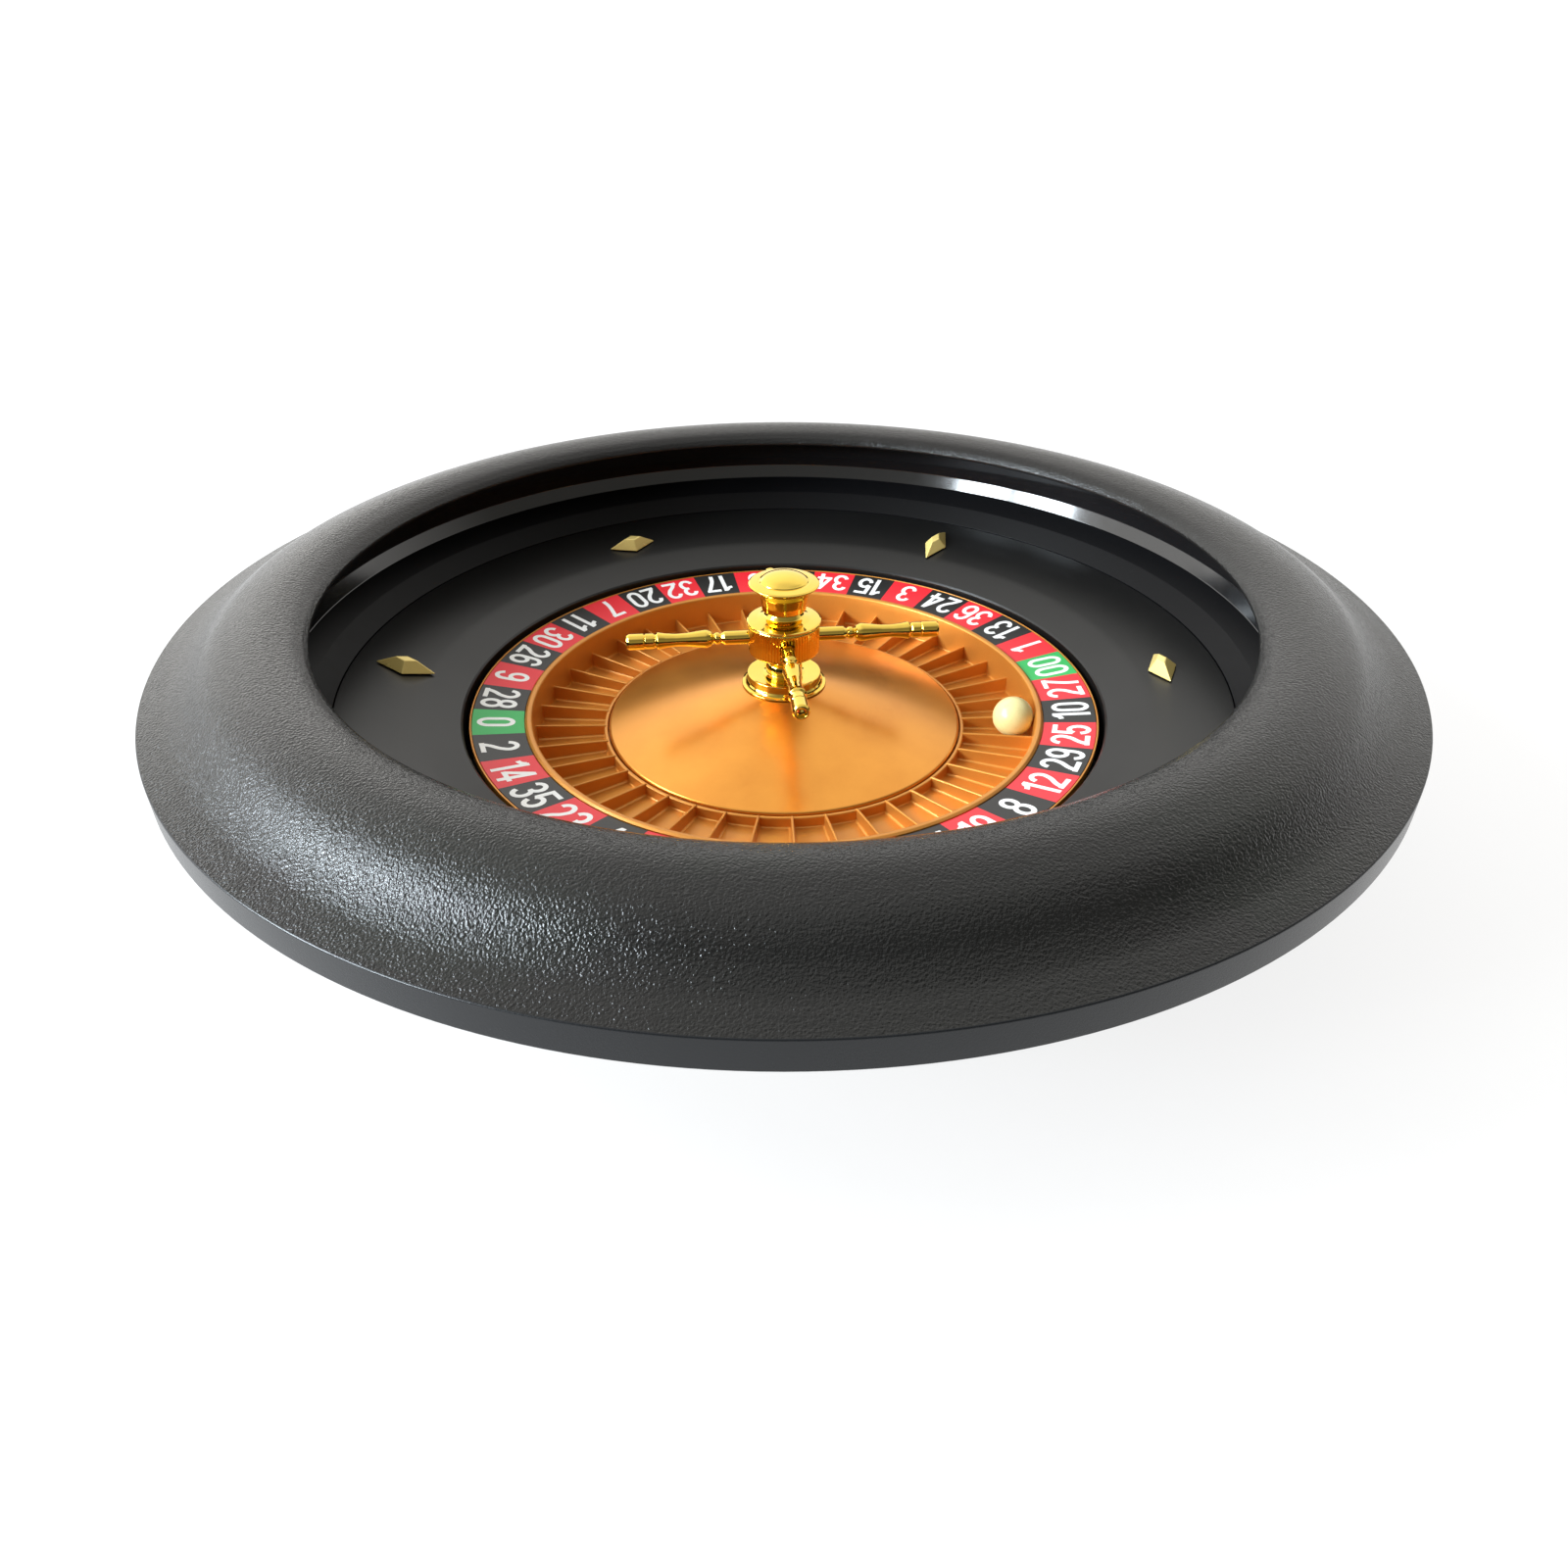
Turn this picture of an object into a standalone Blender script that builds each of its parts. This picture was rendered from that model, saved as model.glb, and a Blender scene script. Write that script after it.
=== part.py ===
"""Table roulette wheel for home play: a moulded bowl and a rotor that spins in it on two ball bearings.

Run with:  blender --background --python part.py

Metres, +Z up. The origin is on the surface that the feet stand on, on the rotor's axis.
Every measure below is in millimetres, and is turned into metres where a mesh is made.
A radius and a height are written together as (radius, height), the outline of a turned piece.
"""

import math

import bmesh
import bpy
from mathutils import Matrix, Vector

MM = 0.001

# ---- driving dimensions, mm ---------------------------------------------------------------------
WHEEL_DIAMETER = 508.0          # a 20 inch wheel, over the skirt
FLANGE_HEIGHT = 76.0            # underside of the skirt above the table
SKIRT_DEPTH = 11.4
BOWL_WALL = 3.0
TOUCH = 0.3                     # gap left between pieces that rest on each other

LIP_RADIUS = 193.0              # opening of the rim
APRON_INNER_RADIUS = 142.5
APRON_SLOPE = 0.255             # rise per unit of radius

ROTOR_RADIUS = 140.1
ROTOR_RIM_HEIGHT = 44.8
POCKET_COUNT = 38
POCKET_WALL_RADIUS = 113.3
POCKET_FLOOR_HEIGHT = 27.2
NUMBER_RING_THICKNESS = 1.0
CONE_RADIUS = 80.4
CONE_SLOPE = 0.2745
FIRST_POCKET_AZIMUTH = 191.75   # middle of the pocket 0, degrees from +X towards +Y
BALL_POCKET = 21                # pockets on from the first, clockwise from above

BALL_RADIUS = 9.0
SPINDLE_RADIUS = 6.0
BEARING_RADIUS = 14.0           # outside of a 12 x 28 x 8 bearing
BEARING_WIDTH = 8.0
BEARING_BALL_COUNT = 8
LOWER_BEARING_HEIGHT = 15.7
UPPER_BEARING_HEIGHT = 28.9

DEFLECTOR_COUNT = 6
DEFLECTOR_RADIUS = 170.7
HANDLE_COUNT = 4
HANDLE_AZIMUTH = 5.7
HANDLE_ROD_RADIUS = 3.1
HANDLE_HEIGHT = 72.4
FLUTE_COUNT = 72
FOOT_COUNT = 4
FOOT_HEIGHT = 6.0
FOOT_CIRCLE_RADIUS = 150.0
RIM_SCREW_COUNT = 6
RIM_SCREW_CIRCLE_RADIUS = 243.0
HUB_SCREW_COUNT = 4
HUB_SCREW_CIRCLE_RADIUS = 28.5

LARGE_SEGMENTS = 36             # sides of the bowl's and the rotor's turned pieces
SMALL_SEGMENTS = 18
FASTENER_SEGMENTS = 8
HANDLE_SEGMENTS = 8
FOOT_SEGMENTS = 12

# ---- finishes: colour, roughness, metallic ------------------------------------------------------
GRAINED_BLACK = ("grained_black", (0.018, 0.018, 0.019), 0.48, 0.0)
GLOSS_BLACK = ("gloss_black", (0.006, 0.006, 0.007), 0.12, 0.0)
MATTE_BLACK = ("matte_black", (0.035, 0.035, 0.037), 0.55, 0.0)
RUBBER_BLACK = ("rubber_black", (0.02, 0.02, 0.02), 0.85, 0.0)
SATIN_GOLD = ("satin_gold", (0.72, 0.33, 0.07), 0.33, 0.6)
BRIGHT_GOLD = ("bright_gold", (0.95, 0.66, 0.15), 0.10, 1.0)
PALE_BRASS = ("pale_brass", (0.78, 0.62, 0.26), 0.25, 1.0)
PRINTED_RED = ("printed_red", (0.68, 0.03, 0.05), 0.35, 0.0)
BRIGHT_STEEL = ("bright_steel", (0.60, 0.60, 0.62), 0.25, 1.0)
ZINC = ("zinc", (0.50, 0.51, 0.53), 0.40, 1.0)
CREAM = ("cream", (0.93, 0.84, 0.50), 0.25, 0.0)


# ---- modelling helpers --------------------------------------------------------------------------
def clear_scene():
    """Remove every object that the file starts with."""
    for thing in list(bpy.data.objects):
        bpy.data.objects.remove(thing, do_unlink=True)


def finish_material(finish):
    """Principled material of one finish, made once."""
    name, colour, roughness, metallic = finish
    material = bpy.data.materials.get(name)
    if material is None:
        material = bpy.data.materials.new(name)
        material.use_nodes = True
        shader = material.node_tree.nodes["Principled BSDF"]
        shader.inputs["Base Color"].default_value = (*colour, 1.0)
        shader.inputs["Roughness"].default_value = roughness
        shader.inputs["Metallic"].default_value = metallic
        material.diffuse_color = (*colour, 1.0)
    return material


def object_from(name, bm, finish=None, parent=None):
    """Object made from a bmesh in millimetres, shaded smooth up to its sharp edges."""
    bmesh.ops.scale(bm, vec=(MM, MM, MM), verts=bm.verts)
    bmesh.ops.recalc_face_normals(bm, faces=bm.faces)
    mesh = bpy.data.meshes.new(name)
    bm.to_mesh(mesh)
    bm.free()
    mesh.shade_smooth()
    mesh.set_sharp_from_angle(angle=math.radians(40))
    thing = bpy.data.objects.new(name, mesh)
    bpy.context.collection.objects.link(thing)
    if finish is not None:
        mesh.materials.append(finish_material(finish))
    thing.parent = parent
    return thing


def spun(outline, segments, sweep=360.0, start=0.0):
    """Bmesh of an outline turned round Z. An outline that ends on the axis is left open there."""
    bm = bmesh.new()
    corners = [bm.verts.new((radius, 0.0, height)) for radius, height in outline]
    closed = outline[0][0] > 0.0 or outline[-1][0] > 0.0
    pairs = list(zip(corners, corners[1:]))
    if closed:
        pairs.append((corners[-1], corners[0]))
    edges = [bm.edges.new(pair) for pair in pairs]
    bmesh.ops.rotate(bm, verts=bm.verts, matrix=Matrix.Rotation(math.radians(start), 3, "Z"))
    full = sweep >= 360.0
    bmesh.ops.spin(bm, geom=corners + edges, axis=(0, 0, 1), cent=(0, 0, 0),
                   angle=math.radians(sweep), steps=segments, use_merge=full)
    bmesh.ops.remove_doubles(bm, verts=bm.verts, dist=0.0001)
    if not full:
        open_edges = [edge for edge in bm.edges if edge.is_boundary]
        bmesh.ops.holes_fill(bm, edges=open_edges, sides=0)
    return bm


def turned(name, outline, finish, parent, segments=LARGE_SEGMENTS, **sweep):
    """Turned piece standing on the rotor's axis."""
    return object_from(name, spun(outline, segments, **sweep), finish, parent)


def add_cylinder(bm, radius, low, high, segments, place=None):
    """Add a cylinder along Z, from low to high, moved by the matrix place."""
    middle = Matrix.Translation((0.0, 0.0, (low + high) / 2.0))
    bmesh.ops.create_cone(bm, cap_ends=True, segments=segments, radius1=radius, radius2=radius,
                          depth=high - low, matrix=(place or Matrix.Identity(4)) @ middle)


def at_azimuth(degrees, radius=0.0):
    """Matrix that carries a piece on +X at a radius round to an azimuth."""
    return Matrix.Rotation(math.radians(degrees), 4, "Z") @ Matrix.Translation((radius, 0.0, 0.0))


def azimuths(count, first=0.0):
    """Evenly spaced azimuths in degrees."""
    return [first + 360.0 * index / count for index in range(count)]


def combine(target, tool, operation):
    """Join a hidden tool to a piece, or cut it away, with a live Boolean."""
    tool.hide_render = True
    tool.display_type = "WIRE"
    change = target.modifiers.new(operation.lower(), "BOOLEAN")
    change.operation = operation
    change.solver = "EXACT"
    change.object = tool


def drill(target, holes, segments=FASTENER_SEGMENTS):
    """Cut round holes. Each hole is (radius, low, high, place)."""
    bm = bmesh.new()
    for radius, low, high, place in holes:
        add_cylinder(bm, radius, low, high, segments, place)
    combine(target, object_from(target.name + "_drill", bm), "DIFFERENCE")


def offset_outline(points, distance):
    """Outline moved sideways by a distance, to the right of its own direction."""
    moved = []
    for index, (radius, height) in enumerate(points):
        before = Vector(points[max(index - 1, 0)])
        after = Vector(points[min(index + 1, len(points) - 1)])
        along = (after - before).normalized()
        moved.append((radius + along.y * distance, height - along.x * distance))
    return moved


def axis_empty(name):
    """Empty on the rotor's axis, which carries the pieces of one body."""
    empty = bpy.data.objects.new(name, None)
    empty.empty_display_size = 0.05
    bpy.context.collection.objects.link(empty)
    return empty


# ---- bowl ---------------------------------------------------------------------------------------
RIM_RADIUS = WHEEL_DIAMETER / 2.0
SKIRT_TOP = FLANGE_HEIGHT + SKIRT_DEPTH
PAN_FLANGE_TOP = FLANGE_HEIGHT + TOUCH + BOWL_WALL
TRACK_FLANGE_LOW = PAN_FLANGE_TOP + TOUCH
TRACK_FLANGE_TOP = TRACK_FLANGE_LOW + BOWL_WALL
PAN_UNDERSIDE = FOOT_HEIGHT + TOUCH
PAN_FLOOR = PAN_UNDERSIDE + BOWL_WALL
SPINDLE_SEAT_LOW = PAN_UNDERSIDE + 3.0      # the pan's middle is raised over the spindle's nut
SPINDLE_SEAT = PAN_FLOOR + 3.2

# Crown of the rim from its lip outwards, heights above the flange. A broad soft top falls to a
# shallow hat brim.
RIM_CROWN = [(LIP_RADIUS, 23.7), (195.0, 26.4), (198.5, 28.9), (203.0, 30.4), (208.5, 30.8),
             (215.0, 30.0), (224.0, 27.2), (230.0, 23.6), (235.5, 18.8), (242.0, 14.8),
             (RIM_RADIUS, SKIRT_DEPTH)]

# Inner face of the track from under the crown down to the apron: an undercut wall, a steep narrow
# facet and the sloping floor that the ball leaves.
TRACK_FACE = [(203.8, 102.4), (206.6, 94.0), (211.0, 82.0), (208.5, 75.5), (200.0, 69.2),
              (192.7, 64.1)]

# Top of the apron, from its inner edge out to the track.
APRON_TOP = [(APRON_INNER_RADIUS, 48.5), (170.7, 48.5 + 28.2 * APRON_SLOPE), (186.0, 59.7),
             (190.2, 61.6), (192.4, 63.8)]


def rim_screw_places():
    return [at_azimuth(azimuth, RIM_SCREW_CIRCLE_RADIUS)
            for azimuth in azimuths(RIM_SCREW_COUNT, 30.0)]


def make_rim_shell(parent):
    """Grained outer rim: a hollow crown with a skirt, and a ring of plastic inside for the screws."""
    crown = [(radius, FLANGE_HEIGHT + height) for radius, height in RIM_CROWN]
    inside = offset_outline(crown, BOWL_WALL)[:-1]
    screw_ring_half = 4.5
    inner = RIM_SCREW_CIRCLE_RADIUS - screw_ring_half
    outer = RIM_SCREW_CIRCLE_RADIUS + screw_ring_half
    low = TRACK_FLANGE_TOP + TOUCH
    hollow = [point for point in inside if point[0] < inner - 1.0]
    outline = crown + [(RIM_RADIUS, FLANGE_HEIGHT), (RIM_RADIUS - BOWL_WALL, FLANGE_HEIGHT),
                       (RIM_RADIUS - BOWL_WALL, SKIRT_TOP - 3.0), (outer, SKIRT_TOP - 1.6),
                       (outer, low), (inner, low), (inner, SKIRT_TOP + 2.2)] + hollow[::-1]
    rim = turned("rim_shell", outline, GRAINED_BLACK, parent)
    drill(rim, [(1.75, low - 2.0, low + 4.4, place) for place in rim_screw_places()])


def make_ball_track(parent):
    """Gloss black ring under the crown, with a flange that is clamped between rim and pan."""
    ledge = [(192.7, 60.2), (186.0, 56.2), (186.0, 53.4), (193.0, 57.4)]
    back = [(201.6, 66.6), (210.4, 73.0), (213.4, TRACK_FLANGE_LOW), (248.0, TRACK_FLANGE_LOW),
            (248.0, TRACK_FLANGE_TOP), (214.0, TRACK_FLANGE_TOP), (209.6, 94.6), (206.6, 102.8)]
    track = turned("ball_track", TRACK_FACE + ledge + back, GLOSS_BLACK, parent)
    drill(track, [(2.3, TRACK_FLANGE_LOW - 2.0, TRACK_FLANGE_TOP + 2.0, place)
                  for place in rim_screw_places()])


def make_apron(parent):
    """Matte cone that the ball falls down, with a lip that hangs round the rotor."""
    wall = 2.7
    lip_low = 38.5
    below = [(radius, height - wall * 1.05) for radius, height in APRON_TOP[1:]]
    outline = [(APRON_INNER_RADIUS, lip_low)] + APRON_TOP + below[::-1]
    outline += [(APRON_INNER_RADIUS + wall, 46.3), (APRON_INNER_RADIUS + wall, lip_low)]
    turned("apron", outline, MATTE_BLACK, parent)


def make_base_pan(parent):
    """Tapered pan under the bowl: flange, wall, floor, a ring under the apron and a spindle seat."""
    ring_inner, ring_outer, ring_top = 147.0, 150.0, 46.6
    under = [(5.4, SPINDLE_SEAT_LOW), (38.0, SPINDLE_SEAT_LOW), (42.0, PAN_UNDERSIDE),
             (167.0, PAN_UNDERSIDE), (172.5, PAN_UNDERSIDE + 2.6), (232.5, 72.5),
             (236.5, FLANGE_HEIGHT + TOUCH), (250.0, FLANGE_HEIGHT + TOUCH)]
    above = [(250.0, PAN_FLANGE_TOP), (234.8, PAN_FLANGE_TOP), (229.8, 74.2),
             (170.4, PAN_FLOOR + 2.0), (166.6, PAN_FLOOR), (ring_outer, PAN_FLOOR),
             (ring_outer, ring_top), (ring_inner, ring_top), (ring_inner, PAN_FLOOR),
             (44.0, PAN_FLOOR), (40.0, SPINDLE_SEAT), (5.4, SPINDLE_SEAT)]
    pan = turned("base_pan", under + above, MATTE_BLACK, parent)
    holes = [(2.3, FLANGE_HEIGHT - 2.0, PAN_FLANGE_TOP + 2.0, place)
             for place in rim_screw_places()]
    holes += [(1.9, PAN_UNDERSIDE - 2.0, PAN_FLOOR + 2.0, place) for place in foot_places()]
    drill(pan, holes)


def make_screw(name, place, shank, head, low, high, head_height, parent, head_up):
    """Pan-head screw along Z. Its shank runs from low to high, with the head at one end."""
    point = 1.4
    outline = [(0.0, low), (shank * 0.45, low), (shank, low + point), (shank, high),
               (head, high), (head, high + head_height * 0.6), (head * 0.72, high + head_height),
               (0.0, high + head_height)]
    if not head_up:
        outline = [(radius, low + high - height) for radius, height in reversed(outline)]
    screw = object_from(name, spun(outline, FASTENER_SEGMENTS), ZINC, parent)
    screw.matrix_local = Matrix.Translation(place.to_translation() * MM)


def make_rim_screws(parent):
    for index, place in enumerate(rim_screw_places(), 1):
        make_screw(f"rim_screw_{index}", place, 1.45, 3.8, FLANGE_HEIGHT, 86.3, 2.4, parent, False)


def foot_places():
    return [at_azimuth(azimuth, FOOT_CIRCLE_RADIUS) for azimuth in azimuths(FOOT_COUNT, 45.0)]


def make_feet(parent):
    """Rubber feet, each recessed for the screw that holds it."""
    recess = 2.6
    outline = [(1.9, recess), (4.6, recess), (4.6, 0.0), (11.0, 0.0), (12.5, FOOT_HEIGHT - 1.0),
               (12.5, FOOT_HEIGHT), (1.9, FOOT_HEIGHT)]
    for index, place in enumerate(foot_places(), 1):
        foot = object_from(f"foot_{index}", spun(outline, FOOT_SEGMENTS), RUBBER_BLACK, parent)
        foot.matrix_local = Matrix.Translation(place.to_translation() * MM)
        make_screw(f"foot_screw_{index}", place, 1.5, 3.6, recess - TOUCH, 10.6, 1.4, parent, False)


def make_deflectors(parent):
    """Diamond studs on the apron, lying along the track and across it by turns."""
    half_length, half_width, height = 14.0, 6.5, 5.0
    plateau = 0.34
    apron_height = APRON_TOP[0][1] + (DEFLECTOR_RADIUS - APRON_INNER_RADIUS) * APRON_SLOPE
    tilt = Matrix.Rotation(-math.atan(APRON_SLOPE), 4, "Y")
    for index, azimuth in enumerate(azimuths(DEFLECTOR_COUNT), 1):
        bm = bmesh.new()
        corners = [(half_length, 0.0), (0.0, half_width), (-half_length, 0.0), (0.0, -half_width)]
        base = bm.faces.new([bm.verts.new((x, y, 0.0)) for x, y in corners])
        raised = bmesh.ops.extrude_face_region(bm, geom=[base])["geom"]
        top = [item for item in raised if isinstance(item, bmesh.types.BMVert)]
        bmesh.ops.translate(bm, vec=(0.0, 0.0, height), verts=top)
        bmesh.ops.scale(bm, vec=(plateau, plateau, 1.0), verts=top)
        stud = object_from(f"deflector_{index}", bm, PALE_BRASS, parent)
        turn = Matrix.Rotation(math.radians(90.0 if index % 2 else 0.0), 4, "Z")
        seat = Matrix.Translation((0.0, 0.0, (apron_height + 2.0 * TOUCH) * MM))
        stud.matrix_local = at_azimuth(azimuth, DEFLECTOR_RADIUS * MM) @ seat @ tilt @ turn


# ---- spindle and bearings -----------------------------------------------------------------------
RACE_WALL = 1.9
RETAINING_RING_LOW = UPPER_BEARING_HEIGHT + BEARING_WIDTH + TOUCH


def make_spindle(parent):
    """Steel post with a shoulder, a thread below the pan and a groove for its retaining ring."""
    thread, shoulder, groove = 4.9, 8.4, 5.2
    top = RETAINING_RING_LOW + 2.6
    outline = [(0.0, 1.2), (thread - 0.8, 1.2), (thread, 2.0), (thread, SPINDLE_SEAT + TOUCH),
               (shoulder, SPINDLE_SEAT + TOUCH), (shoulder, LOWER_BEARING_HEIGHT - TOUCH),
               (SPINDLE_RADIUS, LOWER_BEARING_HEIGHT - TOUCH), (SPINDLE_RADIUS, RETAINING_RING_LOW),
               (groove, RETAINING_RING_LOW), (groove, RETAINING_RING_LOW + 1.6),
               (SPINDLE_RADIUS, RETAINING_RING_LOW + 1.6), (SPINDLE_RADIUS - 0.7, top), (0.0, top)]
    turned("spindle", outline, BRIGHT_STEEL, parent, SMALL_SEGMENTS)
    washer_low = SPINDLE_SEAT_LOW - TOUCH - 1.2
    washer = [(5.2, washer_low), (10.5, washer_low), (10.5, washer_low + 1.2),
              (5.2, washer_low + 1.2)]
    turned("spindle_washer", washer, ZINC, parent, SMALL_SEGMENTS)
    make_hex_nut("spindle_nut", 9.2, 5.2, washer_low - TOUCH - 4.6, washer_low - TOUCH, parent)
    ring = [(groove + TOUCH, RETAINING_RING_LOW + TOUCH), (8.2, RETAINING_RING_LOW + TOUCH),
            (8.2, RETAINING_RING_LOW + 1.3), (groove + TOUCH, RETAINING_RING_LOW + 1.3)]
    turned("spindle_retaining_ring", ring, BRIGHT_STEEL, parent, 20, sweep=300.0, start=120.0)
    spacer_low = LOWER_BEARING_HEIGHT + BEARING_WIDTH + TOUCH
    spacer_top = UPPER_BEARING_HEIGHT - TOUCH
    spacer = [(SPINDLE_RADIUS + TOUCH, spacer_low), (8.0, spacer_low), (8.0, spacer_top),
              (SPINDLE_RADIUS + TOUCH, spacer_top)]
    turned("bearing_spacer", spacer, BRIGHT_STEEL, parent, SMALL_SEGMENTS)


def make_hex_nut(name, corner_radius, bore, low, high, parent):
    bm = bmesh.new()
    add_cylinder(bm, corner_radius, low, high, 6)
    nut = object_from(name, bm, ZINC, parent)
    drill(nut, [(bore, low - 1.0, high + 1.0, Matrix.Identity(4))], SMALL_SEGMENTS)


def make_bearing(level, low, fixed, turning, cage_parent):
    """Ball bearing: inner race on the spindle, outer race in the hub, and a cage with its balls."""
    high = low + BEARING_WIDTH
    inner, outer = SPINDLE_RADIUS + TOUCH / 2.0, BEARING_RADIUS
    for name, near, far, parent in (("inner", inner, inner + RACE_WALL, fixed),
                                    ("outer", outer - RACE_WALL, outer, turning)):
        outline = [(near, low), (far, low), (far, high), (near, high)]
        turned(f"{level}_{name}_race", outline, BRIGHT_STEEL, parent, SMALL_SEGMENTS)
    pitch = (inner + outer) / 2.0
    ball = (outer - inner) / 2.0 - RACE_WALL - TOUCH
    middle = low + BEARING_WIDTH / 2.0
    web = [(pitch - 0.7, middle - 0.9), (pitch + 0.7, middle - 0.9),
           (pitch + 0.7, middle + 0.9), (pitch - 0.7, middle + 0.9)]
    cage = turned(f"{level}_ball_cage", web, BRIGHT_STEEL, cage_parent, SMALL_SEGMENTS)
    bm = bmesh.new()
    for azimuth in azimuths(BEARING_BALL_COUNT, 7.5):
        place = at_azimuth(azimuth, pitch) @ Matrix.Translation((0.0, 0.0, middle))
        bmesh.ops.create_uvsphere(bm, u_segments=6, v_segments=4, radius=ball, matrix=place)
    combine(cage, object_from(f"{level}_balls", bm), "UNION")


# ---- rotor --------------------------------------------------------------------------------------
HUB_RADIUS = 19.5
HUB_FLANGE_RADIUS = 34.0
HUB_FLANGE_LOW = POCKET_FLOOR_HEIGHT + TOUCH
HUB_FLANGE_TOP = HUB_FLANGE_LOW + 3.0
NUMBER_RING_OUTER = ROTOR_RADIUS - 0.8
NUMBER_RING_INNER = 116.6
NUMBER_RING_SLOPE = 0.122
TURRET_SEAT = 49.0


def hub_screw_places():
    return [at_azimuth(azimuth, HUB_SCREW_CIRCLE_RADIUS)
            for azimuth in azimuths(HUB_SCREW_COUNT, 45.0)]


def number_ring_height(radius, below=0.0):
    """Height of the number ring's top at a radius, less a depth below it."""
    return ROTOR_RIM_HEIGHT - 0.1 - (NUMBER_RING_OUTER - radius) * NUMBER_RING_SLOPE - below


def make_rotor_dish(parent):
    """Gold dish: outer flange with a seat for the numbers, rounded lip, pocket wall and floor."""
    seat = NUMBER_RING_THICKNESS + TOUCH
    wall = BOWL_WALL
    boss_radius, boss_low = 33.5, 19.0
    top = [(ROTOR_RADIUS, ROTOR_RIM_HEIGHT), (NUMBER_RING_OUTER, ROTOR_RIM_HEIGHT),
           (NUMBER_RING_OUTER, number_ring_height(NUMBER_RING_OUTER, seat)),
           (NUMBER_RING_INNER, number_ring_height(NUMBER_RING_INNER, seat)),
           (NUMBER_RING_INNER, 42.1), (115.8, 42.8), (114.3, 42.8), (POCKET_WALL_RADIUS, 41.8),
           (112.8, 28.2), (111.8, POCKET_FLOOR_HEIGHT), (20.3, POCKET_FLOOR_HEIGHT)]
    below = [(20.3, boss_low), (boss_radius, boss_low),
             (boss_radius, POCKET_FLOOR_HEIGHT - wall), (114.2, POCKET_FLOOR_HEIGHT - wall),
             (115.6, 25.8), (116.4, 37.2), (ROTOR_RADIUS, ROTOR_RIM_HEIGHT - seat - wall)]
    dish = turned("rotor_dish", top + below, SATIN_GOLD, parent)
    drill(dish, [(1.75, boss_low + 1.6, POCKET_FLOOR_HEIGHT + 2.0, place)
                 for place in hub_screw_places()])


def make_number_ring(parent):
    """Printed ring with the numbers, let into the dish."""
    outer = NUMBER_RING_OUTER - TOUCH
    inner = NUMBER_RING_INNER + TOUCH
    thickness = NUMBER_RING_THICKNESS
    outline = [(outer, number_ring_height(outer)), (inner, number_ring_height(inner)),
               (inner, number_ring_height(inner, thickness)),
               (outer, number_ring_height(outer, thickness))]
    turned("number_ring", outline, PRINTED_RED, parent)


def make_fret_ring(parent):
    """Ring of thin upright frets that part the pockets, joined at their inner ends."""
    half_thickness = 0.6
    root, tip = CONE_RADIUS + 1.4, 111.3
    low, root_top, tip_top = POCKET_FLOOR_HEIGHT + TOUCH, 32.3, 34.3
    hoop = [(CONE_RADIUS + 0.7, low), (CONE_RADIUS + 2.2, low),
            (CONE_RADIUS + 2.2, root_top - 0.6), (CONE_RADIUS + 0.7, root_top - 0.6)]
    pitch = 360.0 / POCKET_COUNT
    first = FIRST_POCKET_AZIMUTH + pitch / 2.0
    ring = turned("fret_ring", hoop, SATIN_GOLD, parent, POCKET_COUNT, start=first)
    bm = bmesh.new()
    for azimuth in azimuths(POCKET_COUNT, first):
        box = bmesh.ops.create_cube(bm, size=1.0)["verts"]
        for corner in box:
            outward = corner.co.x > 0.0
            upper = tip_top if outward else root_top
            corner.co = (tip if outward else root, math.copysign(half_thickness, corner.co.y),
                         upper if corner.co.z > 0.0 else low)
        bmesh.ops.transform(bm, matrix=at_azimuth(azimuth), verts=box)
    combine(ring, object_from("frets", bm), "UNION")


def make_rotor_cone(parent):
    """Shallow gold cone over the hub, with a rounded edge and a flat seat for the turret."""
    wall = 2.8
    low = POCKET_FLOOR_HEIGHT + TOUCH
    edge_top = 32.6
    stay_inner, stay_outer = 36.4, 39.0
    bore = 3.3

    def height(radius, depth=0.0):
        return edge_top + (CONE_RADIUS - 1.4 - radius) * CONE_SLOPE - depth

    seat_edge = CONE_RADIUS - 1.4 - (TURRET_SEAT - edge_top) / CONE_SLOPE
    top = [(CONE_RADIUS, low), (CONE_RADIUS, 31.4), (CONE_RADIUS - 0.4, 32.2),
           (CONE_RADIUS - 1.4, edge_top), (seat_edge, TURRET_SEAT), (bore, TURRET_SEAT)]
    below = [(bore, TURRET_SEAT - wall), (seat_edge, TURRET_SEAT - wall),
             (stay_inner, height(stay_inner, wall)), (stay_inner, low), (stay_outer, low),
             (stay_outer, height(stay_outer, wall)), (CONE_RADIUS - wall, 30.0),
             (CONE_RADIUS - wall, low)]
    turned("rotor_cone", top + below, SATIN_GOLD, parent)


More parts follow.
